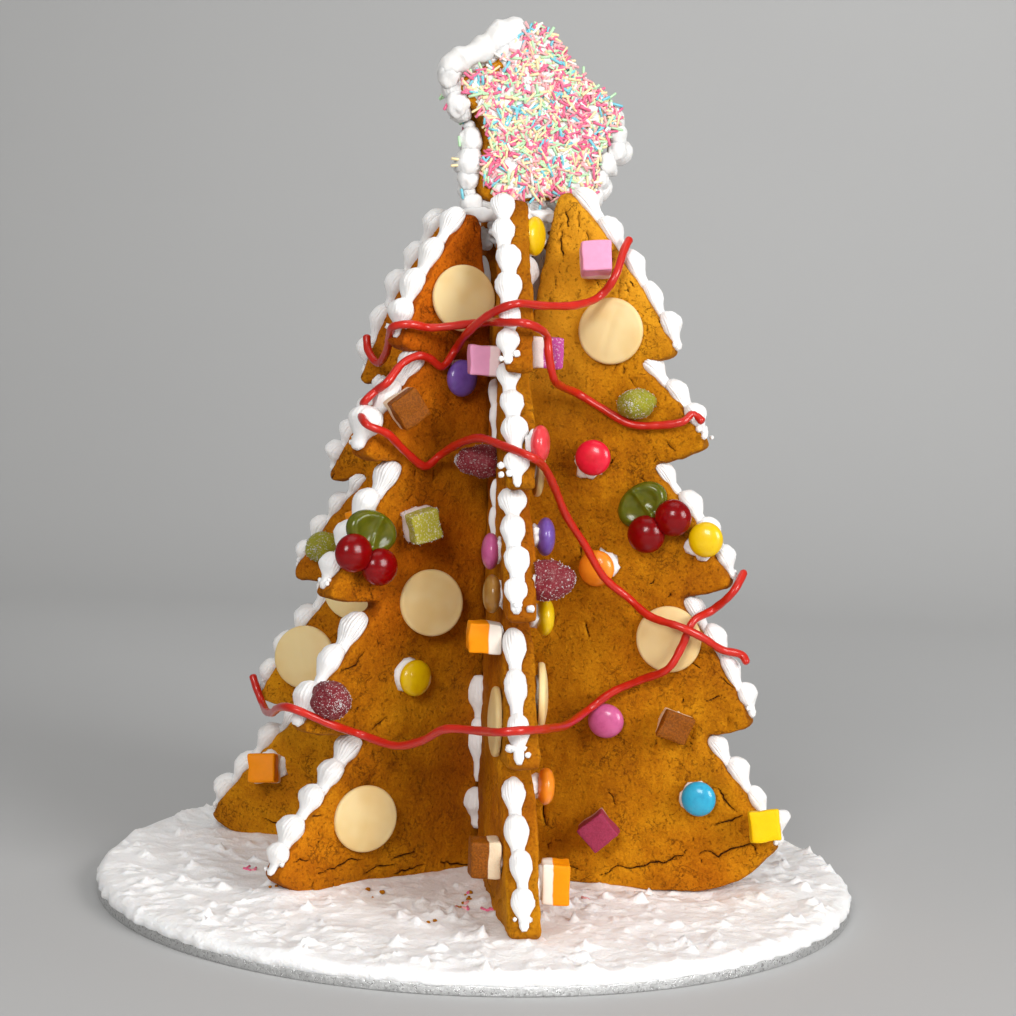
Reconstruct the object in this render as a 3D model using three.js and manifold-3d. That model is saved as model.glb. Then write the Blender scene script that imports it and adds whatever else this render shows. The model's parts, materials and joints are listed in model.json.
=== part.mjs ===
// A gingerbread Christmas tree that stands on a round silver cake board.
// Six half-tree biscuits meet at the middle like the fins of a wheel, edge-piped with
// icing shells, hung with sweets and laces, and topped with a double star biscuit.
// Millimetres, +Z up. The origin is the middle of the board's underside, and -Y is the front.
import * as THREE from "three";
import { mergeVertices } from "three/addons/utils/BufferGeometryUtils.js";
import Module from "manifold-3d";

const wasm = await Module();
wasm.setup();

// ---------------------------------------------------------------- driving dimensions
const GAP = 0.3; // clear air between neighbouring solids

const BOARD_RADIUS = 152.5; // a 12 inch cake card
const BOARD_THICKNESS = 4;
const BOARD_SIDES = 32;

const SNOW_RADIUS = 150.5;
const SNOW_DEPTH = 3.6; // icing spread on the board, without its waves
const SNOW_WAVE = 1.7;
const SNOW_HEAP = 5; // extra depth of the heaps that lie near the rim at the back
const SNOW_RINGS = 4;
const SNOW_SPOKES = 26;

const TREE_X = 5; // where the fins meet, measured from the middle of the board
const TREE_Y = 5;
const TREE_LEAN = -0.4; // degrees, the top leans to the left
const FIN_THICKNESS = 11.4;
const FIN_FOOT = 5.6; // the fins stand in the icing, a little above the board
const FIN_CORE = 4; // reach where a fin's upright inner edge starts
const FIN_CORE_TOP = 182; // above this height the inner edge slopes away from the middle
const FIN_FLAT_FOOT = 0.62; // share of the lowest reach that stands flat

const SHELL_PITCH = 15; // one piped shell along its row
const SHELL_HALF_WIDTH = 4.9;
const SHELL_HEIGHT = 5.2;
const SHELL_SUNK = 1.6; // how far the icing reaches into the biscuit's rim
const SHELL_TAIL = 0.55; // a shell's tail compared with its head

const STAR_MIDDLE = [10.8, 11, 311.5];
const STAR_AZIMUTH = 22; // degrees, the star's face turns to the right
// The star's uneven outline in its own plane, tip and notch in turn, as [degrees, reach].
const STAR_OUTLINE = [
  [94, 38.5],
  [50, 26],
  [11, 36],
  [-28, 29],
  [-46, 37],
  [-85, 31],
  [-126, 38],
  [-172, 23],
  [160, 36],
  [128, 30],
];
const STAR_THICKNESS = 8.4;
const STAR_ROUNDING = 1.4;
const STAR_JOINT = 3; // icing between the two star biscuits
// The piped ring between the two star biscuits follows a softer outline of its own.
const STAR_RING = [
  [96, 37.5],
  [49, 27],
  [2, 40],
  [-30, 35],
  [-42, 41],
  [-85, 31],
  [-128, 39],
  [-166, 27],
  [158, 37],
  [127, 32],
];
const STAR_SHELLS = 14;
const STAR_SHELL_RADIUS = 5.7;
const STAR_SHELL_SIDES = 5;

const LACE_RADIUS = 1.6;
const LACE_SIDES = 5;
const LACE_STEP = 12;

// Each fin's azimuth, its apex, and its five tips and four notches from the top down, all as
// [reach from the middle, height above the board's underside].
const FINS = [
  {
    name: "fin_front",
    azimuth: -84,
    apex: [23, 280],
    tips: [[64, 213], [82, 170], [96, 122], [108, 70], [125, 12]],
    notches: [[46, 217], [58, 174], [70, 125], [80, 69]],
  },
  {
    name: "fin_right",
    azimuth: -18,
    apex: [27, 284],
    tips: [[73, 220], [87, 184], [99, 130], [109, 75], [121, 26]],
    notches: [[55, 219], [63, 178], [76, 126], [88, 71]],
  },
  {
    name: "fin_back_right",
    azimuth: 41,
    apex: [25, 272],
    tips: [[66, 215], [81, 172], [96, 126], [106, 71], [120, 17]],
    notches: [[49, 217], [57, 175], [70, 124], [81, 69]],
  },
  {
    name: "fin_back",
    azimuth: 101,
    apex: [24, 275],
    tips: [[65, 212], [83, 173], [94, 124], [108, 73], [122, 15]],
    notches: [[47, 214], [57, 174], [69, 126], [79, 68]],
  },
  {
    name: "fin_back_left",
    azimuth: 160,
    apex: [24, 275],
    tips: [[61, 205], [74, 164], [89, 122], [104, 69], [125, 16]],
    notches: [[44, 209], [54, 168], [66, 122], [80, 68]],
  },
  {
    name: "fin_left",
    azimuth: 219,
    apex: [22, 274],
    tips: [[55, 221], [71, 178], [86, 124], [96, 73], [107, 16]],
    notches: [[38, 219], [49, 177], [58, 122], [63, 70]],
  },
];

// Sweets on the faces. side is +1 or -1, the face towards a larger or smaller azimuth. Each
// sweet is [kind, colour, reach, height, turn in degrees].
const FACES = [
  {
    name: "right",
    fin: "fin_right",
    side: -1,
    sweets: [
      ["cube", "pink", 41, 257, 3],
      ["button", "cream", 47, 229, 0],
      ["gumdrop", "green", 59, 201, 10],
      ["lentil", "red", 42, 179, 0],
      ["cherries", "red", 68, 157, 40],
      ["lentil", "yellow", 89, 149, 0],
      ["lentil", "orange", 45, 135, 0],
      ["button", "cream", 75, 108, 0],
      ["lentil", "pink", 51, 74, 0],
      ["cube", "brown", 79, 73, -20],
      ["lentil", "blue", 90, 46, 0],
      ["cube", "yellow", 116, 37, 8],
      ["cube", "purple", 49, 30, 40],
    ],
  },
  {
    name: "front_right",
    fin: "fin_front",
    side: 1,
    sweets: [
      ["lentil", "yellow", 23, 264, 0],
      ["cube", "pink", 42, 220, 0],
      ["lentil", "coral", 72, 187, 0],
      ["button", "cream", 54, 178, 0],
      ["lentil", "purple", 67, 152, 0],
      ["dome", "purple", 82, 136, 0],
      ["lentil", "yellow", 68, 122, 0],
      ["button", "cream", 80, 94, 0],
      ["lentil", "orange", 76, 58, 0],
      ["cube", "orange", 103, 29, 0],
    ],
  },
  {
    name: "front_left",
    fin: "fin_front",
    side: -1,
    sweets: [
      ["cube", "pink", 43, 216, 0],
      ["dome", "purple", 40, 177, 0],
      ["lentil", "pink", 66, 145, 0],
      ["lentil", "brown", 76, 130, 0],
      ["cube", "orange", 76, 113, 0],
      ["button", "cream", 80, 82, 0],
      ["cube", "brown", 100, 35, 0],
    ],
  },
  {
    name: "left",
    fin: "fin_left",
    side: 1,
    sweets: [
      ["button", "cream", 28, 240, 0],
      ["lentil", "purple", 28, 209, 0],
      ["cube", "brown", 55, 197, 35],
      ["cherries", "red", 71, 143, -20],
      ["cube", "green", 47, 152, 15],
      ["button", "cream", 40, 120, 0],
      ["lentil", "yellow", 47, 91, 0],
      ["dome", "purple", 90, 87, 0],
      ["button", "cream", 69, 37, 0],
    ],
  },
  {
    name: "back_left",
    fin: "fin_back_left",
    side: 1,
    sweets: [
      ["gumdrop", "green", 73, 136, 0],
      ["button", "cream", 64, 113, 0],
      ["button", "cream", 81, 89, 0],
      ["cube", "orange", 97, 40, 5],
    ],
  },
];

// The soft laces that are draped round the fins, as points that they pass through.
const LACES = [
  {
    name: "lace_high",
    points: [
      [52, -14, 266], [50, -18, 262], [46, -24, 250], [41, -22, 243], [32, -31, 239],
      [19, -44, 238], [7, -59, 238], [-2, -53, 234], [-10, -42, 227], [-15, -23, 220],
      [-20, -26, 213], [-25, -30, 216], [-29, -33, 217], [-35, -35, 214], [-41, -40, 206],
      [-45, -37, 203], [-48, -18, 201], [-54, 19, 194],
    ],
  },
  {
    name: "lace_second",
    points: [
      [-52, 18, 225], [-53, 18, 218], [-51, 12, 213], [-48, -20, 216], [-45, -37, 223],
      [-39, -40, 228], [-33, -38, 229], [-25, -34, 228], [-10, -37, 230], [-2, -44, 231],
      [3, -58, 231], [11, -63, 231], [17, -58, 229], [20, -51, 226], [21, -50, 219],
      [23, -47, 211], [27, -31, 207], [34, -17, 204], [43, -18, 199], [55, -22, 193],
      [65, -25, 193], [75, -28, 195], [79, -26, 198], [83, -28, 195],
    ],
  },
  {
    name: "lace_third",
    points: [
      [-52, -44, 194], [-47, -49, 190], [-40, -46, 187], [-33, -38, 180], [-25, -31, 174],
      [-20, -28, 178], [-12, -42, 184], [-4, -56, 187], [5, -70, 185], [15, -80, 182],
      [20, -69, 178], [25, -56, 169], [30, -45, 158], [38, -34, 146], [47, -26, 132],
      [57, -23, 124], [65, -29, 118], [77, -37, 115], [86, -36, 111], [94, -32, 106],
      [102, -31, 104], [104, -33, 101],
    ],
  },
  {
    name: "lace_low",
    points: [
      [-97, 33, 79], [-95, 31, 74], [-92, 28, 68], [-84, -18, 72], [-72, -62, 82],
      [-57, -60, 76], [-46, -52, 71], [-32, -62, 69], [-22, -72, 73], [-13, -84, 80],
      [0, -96, 82], [7, -108, 84], [14, -109, 85], [21, -100, 84], [27, -79, 81],
      [34, -47, 77], [43, -23, 79], [52, -22, 86], [63, -26, 92], [73, -33, 98],
      [78, -33, 107], [82, -33, 117], [90, -27, 121], [97, -33, 129], [102, -27, 137],
    ],
  },
];

const COLOURS = {
  gingerbread: 0xb06814,
  icing: 0xf2f0ec,
  foil: 0xc4c6c8,
  lace: 0xc01818,
  cream: 0xeacb8c,
  yellow: 0xe8cc10,
  red: 0xd01030,
  coral: 0xf05050,
  orange: 0xf59020,
  pink: 0xe070b0,
  purple: 0x7050a8,
  blue: 0x30a8dc,
  brown: 0x8a4a20,
  green: 0x98b030,
};

// ---------------------------------------------------------------- solids and materials
function finish(colour, roughness, metalness = 0) {
  return new THREE.MeshStandardMaterial({ color: COLOURS[colour], roughness, metalness });
}

// A geometry with merged corners, as a manifold solid.
function toSolid(geometry) {
  const bare = geometry.clone();
  bare.deleteAttribute("normal");
  bare.deleteAttribute("uv");
  const merged = mergeVertices(bare, 1e-4);
  const vertProperties = new Float32Array(merged.attributes.position.array);
  const triVerts = new Uint32Array(merged.index.array);
  return new wasm.Manifold(new wasm.Mesh({ numProp: 3, vertProperties, triVerts }));
}

function toGeometry(solid) {
  const mesh = solid.getMesh();
  const geometry = new THREE.BufferGeometry();
  geometry.setAttribute("position", new THREE.BufferAttribute(new Float32Array(mesh.vertProperties), 3));
  geometry.setIndex(new THREE.BufferAttribute(new Uint32Array(mesh.triVerts), 1));
  geometry.computeVertexNormals();
  return geometry;
}

// Closed surface through rings that all have the same number of points. Rings run
// anticlockwise as seen from the end that they are lofted towards.
function loft(rings, closed) {
  const sides = rings[0].length;
  const positions = rings.flat().flatMap((point) => [point.x, point.y, point.z]);
  const index = [];
  const spans = closed ? rings.length : rings.length - 1;
  for (let ring = 0; ring < spans; ring += 1) {
    const here = ring * sides;
    const next = ((ring + 1) % rings.length) * sides;
    for (let side = 0; side < sides; side += 1) {
      const after = (side + 1) % sides;
      index.push(here + side, here + after, next + after);
      index.push(here + side, next + after, next + side);
    }
  }
  if (!closed) {
    const last = (rings.length - 1) * sides;
    for (let side = 1; side < sides - 1; side += 1) {
      index.push(0, side + 1, side);
      index.push(last, last + side, last + side + 1);
    }
  }
  const geometry = new THREE.BufferGeometry();
  geometry.setAttribute("position", new THREE.Float32BufferAttribute(positions, 3));
  geometry.setIndex(index);
  geometry.computeVertexNormals();
  return geometry;
}

// ---------------------------------------------------------------- fins
// The upper edge of each tier, as a curve in the fin's own [reach, height] plane.
function tierEdge(fin, tier) {
  const start = tier === 0 ? fin.apex : fin.notches[tier - 1];
  const [tipReach, tipHeight] = fin.tips[tier];
  const bulge = tier === 0 ? 6 : 3.5;
  const rounding = 3.5;
  const from = new THREE.Vector2(start[0], start[1]);
  const to = new THREE.Vector2(tipReach - 1, tipHeight + rounding);
  const middle = from.clone().add(to).multiplyScalar(0.5);
  const across = to.clone().sub(from).normalize();
  middle.x += -across.y * bulge;
  middle.y += across.x * bulge;
  return new THREE.QuadraticBezierCurve(from, middle, to);
}

// A fin's outline: up the inner edge, round the apex, then down the five tiers, each with a
// round tip and a hollow underside, and back along the foot.
function finShape(fin, grow) {
  const [apexReach, apexHeight] = fin.apex;
  const [lowReach, lowHeight] = fin.tips[fin.tips.length - 1];
  const foot = FIN_FOOT - grow;
  const shape = new THREE.Shape();
  shape.moveTo(FIN_CORE - grow, foot);
  shape.lineTo(lowReach * FIN_FLAT_FOOT, foot);
  shape.quadraticCurveTo(lowReach - 14, foot + 1, lowReach - 4 + grow, lowHeight - 2.5 - grow);
  shape.quadraticCurveTo(lowReach + 1.5 + grow, lowHeight, lowReach - 1 + grow, lowHeight + 3.5);
  for (let tier = fin.tips.length - 1; tier >= 0; tier -= 1) {
    const edge = tierEdge(fin, tier);
    shape.quadraticCurveTo(edge.v1.x, edge.v1.y, edge.v0.x, edge.v0.y);
    if (tier > 0) {
      const [tipReach, tipHeight] = fin.tips[tier - 1];
      const [notchReach, notchHeight] = fin.notches[tier - 1];
      shape.quadraticCurveTo(notchReach + 8, notchHeight - 2, tipReach - 4, tipHeight - 1.5);
      shape.quadraticCurveTo(tipReach + 1.5, tipHeight - 1, tipReach - 1, tipHeight + 3.5);
    }
  }
  shape.quadraticCurveTo(apexReach - 5, apexHeight, apexReach - 6, apexHeight - 7);
  shape.lineTo(FIN_CORE - grow, FIN_CORE_TOP);
  shape.closePath();
  return shape;
}

// A slab of biscuit in the fin's frame: X is reach, Z is height and Y is thickness.
function finSlab(fin, grow) {
  const depth = FIN_THICKNESS + 2 * grow;
  const geometry = new THREE.ExtrudeGeometry(finShape(fin, grow), {
    depth,
    curveSegments: 3,
    bevelEnabled: false,
  });
  geometry.rotateX(Math.PI / 2);
  geometry.translate(0, depth / 2, 0);
  return toSolid(geometry);
}

// The wedge of space that a fin has to itself where the six meet.
function finSector(fin) {
  const order = FINS.indexOf(fin);
  const turn = (from, to) => (((to - from) % 360) + 360) % 360;
  const after = FINS[(order + 1) % FINS.length].azimuth;
  const before = FINS[(order + FINS.length - 1) % FINS.length].azimuth;
  const left = THREE.MathUtils.degToRad(turn(fin.azimuth, after) / 2);
  const right = THREE.MathUtils.degToRad(turn(before, fin.azimuth) / 2);
  const far = 200;
  const apex = GAP / Math.sin(Math.min(left, right));
  const wedge = new THREE.Shape();
  wedge.moveTo(apex, 0);
  wedge.lineTo(far, -far * Math.tan(right) + apex * Math.tan(right));
  wedge.lineTo(far, far * Math.tan(left) - apex * Math.tan(left));
  wedge.closePath();
  return toSolid(new THREE.ExtrudeGeometry(wedge, { depth: 400, bevelEnabled: false }));
}

// One row of overlapping icing shells along a tier's upper edge.
function shellRow(edge) {
  const length = edge.getLength();
  const shells = Math.max(3, Math.round(length / SHELL_PITCH));
  const rings = [];
  const addRing = (place, size) => {
    const middle = edge.getPointAt(Math.min(place, 1));
    const along = edge.getTangentAt(Math.min(place, 1));
    const out = new THREE.Vector2(-along.y, along.x);
    const across = SHELL_HALF_WIDTH * size;
    const height = SHELL_HEIGHT * size;
    const profile = [[-1, -SHELL_SUNK], [-0.7, height], [0.7, height], [1, -SHELL_SUNK]];
    rings.push(
      profile.map(
        ([side, lift]) =>
          new THREE.Vector3(middle.x + out.x * lift, side * across, middle.y + out.y * lift),
      ),
    );
  };
  addRing(0.02, 0.5);
  for (let shell = 0; shell < shells; shell += 1) {
    addRing((shell + 0.4) / shells, 1);
    addRing((shell + 0.98) / shells, SHELL_TAIL);
  }
  return toSolid(loft(rings, false));
}

function finSolid(fin) {
  let solid = finSlab(fin, 0);
  for (let tier = 0; tier < fin.tips.length; tier += 1) {
    solid = solid.add(shellRow(tierEdge(fin, tier)));
  }
  return solid.intersect(finSector(fin));
}

// ---------------------------------------------------------------- board and icing
function boardGeometry() {
  const foil = BOARD_THICKNESS / 4;
  const profile = [
    [0, 0],
    [BOARD_RADIUS - foil, 0],
    [BOARD_RADIUS, BOARD_THICKNESS / 2],
    [BOARD_RADIUS - foil, BOARD_THICKNESS],
    [0, BOARD_THICKNESS],
  ].map(([reach, height]) => new THREE.Vector2(reach, height));
  return new THREE.LatheGeometry(profile, BOARD_SIDES).rotateX(Math.PI / 2);
}

// Height of the spread icing above the board at a place given by reach and angle.
function snowDepth(reach, angle) {
  const edge = reach / SNOW_RADIUS;
  const heaps = Math.max(0, Math.sin(angle)) * Math.pow(edge, 4) * SNOW_HEAP;
  const waves = Math.sin(reach * 0.11 + 2.6 * Math.sin(3 * angle)) + Math.cos(7 * angle + reach * 0.07);
  const fall = edge > 0.97 ? 0.5 : 1;
  return (SNOW_DEPTH + 0.5 * SNOW_WAVE * waves + heaps) * fall + 1;
}

function snowGeometry() {
  const base = BOARD_THICKNESS + GAP;
  const rings = [];
  const ringAt = (reach, height) => {
    const ring = [];
    for (let spoke = 0; spoke < SNOW_SPOKES; spoke += 1) {
      const angle = (spoke / SNOW_SPOKES) * 2 * Math.PI;
      const z = base + height(reach, angle);
      ring.push(new THREE.Vector3(reach * Math.cos(angle), reach * Math.sin(angle), z));
    }
    return ring;
  };
  rings.push(ringAt(SNOW_RADIUS - 1, () => 0));
  rings.push(ringAt(SNOW_RADIUS, () => 1));
  for (let ring = 0; ring < SNOW_RINGS; ring += 1) {
    rings.push(ringAt(SNOW_RADIUS * (0.985 - ring / SNOW_RINGS), snowDepth));
  }
  return loft(rings, false);
}

// The icing is spread round the fins' feet.
function snowSolid() {
  let snow = toSolid(snowGeometry());
  const lean = new THREE.Matrix4().makeRotationY(THREE.MathUtils.degToRad(TREE_LEAN));
  const place = new THREE.Matrix4().makeTranslation(TREE_X, TREE_Y, 0).multiply(lean);
  for (const fin of FINS) {
    const turn = new THREE.Matrix4().makeRotationZ(THREE.MathUtils.degToRad(fin.azimuth));
    const geometry = toGeometry(finSlab(fin, 2 * GAP));
    geometry.applyMatrix4(turn.premultiply(place));
    snow = snow.subtract(toSolid(geometry));
  }
  return snow;
}

// ---------------------------------------------------------------- star
// Soft five-pointed star in the plane Y = 0, as a closed curve.
function starCurve(outline, grow) {
  const points = outline.map(([degrees, reach]) => {
    const angle = THREE.MathUtils.degToRad(degrees);
    return new THREE.Vector3((reach + grow) * Math.cos(angle), 0, (reach + grow) * Math.sin(angle));
  });
  return new THREE.CatmullRomCurve3(points, true, "centripetal");
}

function starPlate(grow, near, thickness, rounding) {
  const steps = 2 * STAR_OUTLINE.length;
  const points = starCurve(STAR_OUTLINE, grow).getPoints(steps).slice(0, steps);
  const outline = new THREE.Shape(points.map((point) => new THREE.Vector2(point.x, point.z)));
  const geometry = new THREE.ExtrudeGeometry(outline, {
    depth: thickness - 2 * rounding,
    bevelEnabled: rounding > 0,
    bevelThickness: rounding,
    bevelSize: rounding,
    bevelOffset: -rounding,
    bevelSegments: 1,
  });
  geometry.rotateX(Math.PI / 2);
  geometry.translate(0, near + thickness - rounding, 0);
  return geometry;
}

// Shells piped round the joint, with the thin layer of icing that holds the two together.
function starIcing() {
  const curve = starCurve(STAR_RING, 0);
  const rings = [];
  const count = STAR_SHELLS * 2;
  for (let step = 0; step < count; step += 1) {
    const middle = curve.getPointAt(step / count);
    const along = curve.getTangentAt(step / count);
    const radius = STAR_SHELL_RADIUS * (step % 2 === 0 ? 1 : 0.68);
    const ring = [];
    for (let side = 0; side < STAR_SHELL_SIDES; side += 1) {
      const angle = (side / STAR_SHELL_SIDES) * 2 * Math.PI;
      const lift = radius * Math.cos(angle);
      const x = middle.x + along.z * lift;
      const z = middle.z - along.x * lift;
      ring.push(new THREE.Vector3(x, radius * Math.sin(angle), z));
    }
    rings.push(ring);
  }
  const layer = toSolid(starPlate(-3, -STAR_JOINT, 2 * STAR_JOINT, 0));
  const thickness = STAR_THICKNESS + 2 * GAP;
  const front = toSolid(starPlate(GAP, -STAR_JOINT / 2 - STAR_THICKNESS - GAP, thickness, 0));
  const back = toSolid(starPlate(GAP, STAR_JOINT / 2 - GAP, thickness, 0));
  return toSolid(loft(rings, true)).add(layer).subtract(front).subtract(back);
}

// ---------------------------------------------------------------- sweets
function turned(profile, sides) {
  const points = profile.map(([reach, height]) => new THREE.Vector2(reach, height));
  return new THREE.LatheGeometry(points, sides).rotateX(Math.PI / 2);
}

// Every sweet lies on the plane Z = 0 and stands up from it.
const SWEETS = {
  lentil: () => turned([[0, 0], [4.6, 0.9], [7.2, 3.5], [4.6, 6.1], [0, 7]], 7),
  button: () => turned([[0, 0], [12.6, 0], [13.2, 1.6], [11.4, 4.2], [0, 5]], 10),
  gumdrop: () => turned([[0, 0], [6.8, 0], [8, 3.5], [6.2, 9.4], [0, 12]], 9).scale(1, 0.85, 1),
  dome: () => turned([[0, 0], [7, 0], [8, 5], [6.4, 12.5], [0, 15.6]], 9),
  cube: () => {
    const half = 5.1;
    const square = new THREE.Shape([
      new THREE.Vector2(-half, -half),
      new THREE.Vector2(half, -half),
      new THREE.Vector2(half, half),
      new THREE.Vector2(-half, half),
    ]);
    const rounding = 1.1;
    const geometry = new THREE.ExtrudeGeometry(square, {
      depth: 2 * half,
      bevelEnabled: true,
      bevelThickness: rounding,
      bevelSize: rounding,
      bevelSegments: 1,
    });
    return geometry.translate(0, 0, rounding);
  },
  // A flat jelly piece: two cherries under one leaf.
  cherries: () => {
    const ball = (x, y, radius) => {
      const cherry = new THREE.SphereGeometry(radius, 7, 4);
      cherry.scale(1, 1, 0.72);
      return toSolid(cherry.translate(x, y, radius * 0.72));
    };
    const leaf = turned([[0, 0], [9, 0], [10.4, 2.4], [8.6, 5.4], [0, 6.2]], 10);
    leaf.scale(1.05, 0.78, 1);
    leaf.translate(-1, 6.4, 0);
    return toGeometry(ball(-6.4, -4, 7.6).add(ball(6.2, -5.4, 7.4)).add(toSolid(leaf)));
  },
};

function laceGeometry(points) {
  const path = new THREE.CatmullRomCurve3(points.map((point) => new THREE.Vector3(...point)));
  const section = new THREE.Shape();
  for (let side = 0; side < LACE_SIDES; side += 1) {
    const angle = (side / LACE_SIDES) * 2 * Math.PI;
    const corner = [LACE_RADIUS * Math.cos(angle), LACE_RADIUS * Math.sin(angle)];
    if (side === 0) section.moveTo(...corner);
    else section.lineTo(...corner);
  }
  section.closePath();
  const steps = Math.round(path.getLength() / LACE_STEP);
  return new THREE.ExtrudeGeometry(section, { steps, extrudePath: path, bevelEnabled: false });
}

// ---------------------------------------------------------------- the whole thing
const piece = new THREE.Group();

function addMesh(parent, name, geometry, material) {
  const mesh = new THREE.Mesh(geometry, material);
  mesh.name = name;
  parent.add(mesh);
  return mesh;
}

addMesh(piece, "board", boardGeometry(), finish("foil", 0.3, 0.9));
addMesh(piece, "snow_icing", toGeometry(snowSolid()), finish("icing", 0.6));

const tree = new THREE.Group();
tree.position.set(TREE_X, TREE_Y, 0);
tree.rotation.y = THREE.MathUtils.degToRad(TREE_LEAN);
piece.add(tree);

const finGroups = {};
for (const fin of FINS) {
  const group = new THREE.Group();
  group.rotation.z = THREE.MathUtils.degToRad(fin.azimuth);
  tree.add(group);
  finGroups[fin.name] = group;
  addMesh(group, fin.name, toGeometry(finSolid(fin)), finish("gingerbread", 0.85));
}

for (const face of FACES) {
  const counts = {};
  for (const [kind, colour, reach, height, turn] of face.sweets) {
    counts[kind] = (counts[kind] ?? 0) + 1;
    const holder = new THREE.Group();
    holder.position.set(reach, face.side * (FIN_THICKNESS / 2 + GAP), height);
    holder.rotation.set(Math.PI / 2, 0, face.side > 0 ? Math.PI : 0, "ZYX");
    finGroups[face.fin].add(holder);
    const name = `${face.name}_${kind}_${counts[kind]}`;
    const mesh = addMesh(holder, name, SWEETS[kind](), finish(colour, 0.4));
    mesh.rotation.z = THREE.MathUtils.degToRad(turn);
  }
}

for (const lace of LACES) {
  addMesh(piece, lace.name, laceGeometry(lace.points), finish("lace", 0.25));
}

const star = new THREE.Group();
star.position.set(...STAR_MIDDLE);
star.rotation.z = THREE.MathUtils.degToRad(STAR_AZIMUTH);
piece.add(star);
const starFront = starPlate(0, -STAR_JOINT / 2 - STAR_THICKNESS, STAR_THICKNESS, STAR_ROUNDING);
const starBack = starPlate(0, STAR_JOINT / 2, STAR_THICKNESS, STAR_ROUNDING);
addMesh(star, "star_front", starFront, finish("gingerbread", 0.8));
addMesh(star, "star_back", starBack, finish("gingerbread", 0.8));
addMesh(star, "star_icing", toGeometry(starIcing()), finish("icing", 0.6));

export default piece;
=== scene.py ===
# The looks of a gingerbread Christmas tree on a silver cake board.
# Shapes are worked out in millimetres in the row frame, and become metres when a piece is made.
import json
import math
from collections import namedtuple

import bmesh
import bpy
import numpy as np
from mathutils import Matrix, Vector


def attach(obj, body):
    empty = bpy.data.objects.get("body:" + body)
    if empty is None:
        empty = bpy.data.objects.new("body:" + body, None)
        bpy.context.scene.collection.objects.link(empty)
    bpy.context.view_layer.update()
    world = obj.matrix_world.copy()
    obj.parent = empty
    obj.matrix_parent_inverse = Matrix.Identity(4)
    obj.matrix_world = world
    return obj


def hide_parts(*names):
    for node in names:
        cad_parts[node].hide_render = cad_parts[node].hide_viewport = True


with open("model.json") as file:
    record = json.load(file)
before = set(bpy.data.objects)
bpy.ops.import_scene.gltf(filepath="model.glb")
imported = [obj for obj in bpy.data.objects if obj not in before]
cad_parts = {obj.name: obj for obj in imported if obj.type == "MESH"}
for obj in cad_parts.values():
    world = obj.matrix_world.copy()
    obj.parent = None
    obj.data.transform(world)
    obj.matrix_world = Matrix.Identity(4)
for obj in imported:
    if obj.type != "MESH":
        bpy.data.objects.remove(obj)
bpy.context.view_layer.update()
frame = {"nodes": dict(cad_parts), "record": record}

MM = 0.001

# ---------------------------------------------------------------- driving sizes, as in the CAD part
BOARD_RADIUS = 152.5
BOARD_THICKNESS = 4.0
TREE_X = 5.0
TREE_Y = 5.0
TREE_LEAN = -0.4
FIN_THICKNESS = 11.4
FIN_FOOT = 5.6
FIN_CORE = 4.0
FIN_CORE_TOP = 182.0
FIN_FLAT_FOOT = 0.62
GAP = 0.3

STAR_MIDDLE = (10.8, 11.0, 311.5)
STAR_AZIMUTH = 22.0
STAR_THICKNESS = 8.4
STAR_NEAR = 1.5
# The star's outline, as (angle in degrees, reach).
STAR_OUTLINE = [
    (94, 38.5), (50, 26), (11, 36), (-28, 29), (-46, 37),
    (-85, 31), (-126, 38), (-172, 23), (160, 36), (128, 30),
]
# Each fin's azimuth, its apex, and its tips and notches from the top down, as (reach, height).
Fin = namedtuple("Fin", "azimuth apex tips notches")
FINS = {
    "fin_front": Fin(
        -84, (23, 280), [(64, 213), (82, 170), (96, 122), (108, 70), (125, 12)],
        [(46, 217), (58, 174), (70, 125), (80, 69)],
    ),
    "fin_right": Fin(
        -18, (27, 284), [(73, 220), (87, 184), (99, 130), (109, 75), (121, 26)],
        [(55, 219), (63, 178), (76, 126), (88, 71)],
    ),
    "fin_back_right": Fin(
        41, (25, 272), [(66, 215), (81, 172), (96, 126), (106, 71), (120, 17)],
        [(49, 217), (57, 175), (70, 124), (81, 69)],
    ),
    "fin_back": Fin(
        101, (24, 275), [(65, 212), (83, 173), (94, 124), (108, 73), (122, 15)],
        [(47, 214), (57, 174), (69, 126), (79, 68)],
    ),
    "fin_back_left": Fin(
        160, (24, 275), [(61, 205), (74, 164), (89, 122), (104, 69), (125, 16)],
        [(44, 209), (54, 168), (66, 122), (80, 68)],
    ),
    "fin_left": Fin(
        219, (22, 274), [(55, 221), (71, 178), (86, 124), (96, 73), (107, 16)],
        [(38, 219), (49, 177), (58, 122), (63, 70)],
    ),
}

# The faces that carry the CAD sweets: the fin and the side of it, +1 towards a larger azimuth.
FACES = {
    "right": ("fin_right", -1),
    "front_right": ("fin_front", 1),
    "front_left": ("fin_front", -1),
    "left": ("fin_left", 1),
    "back_left": ("fin_back_left", 1),
}

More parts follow.
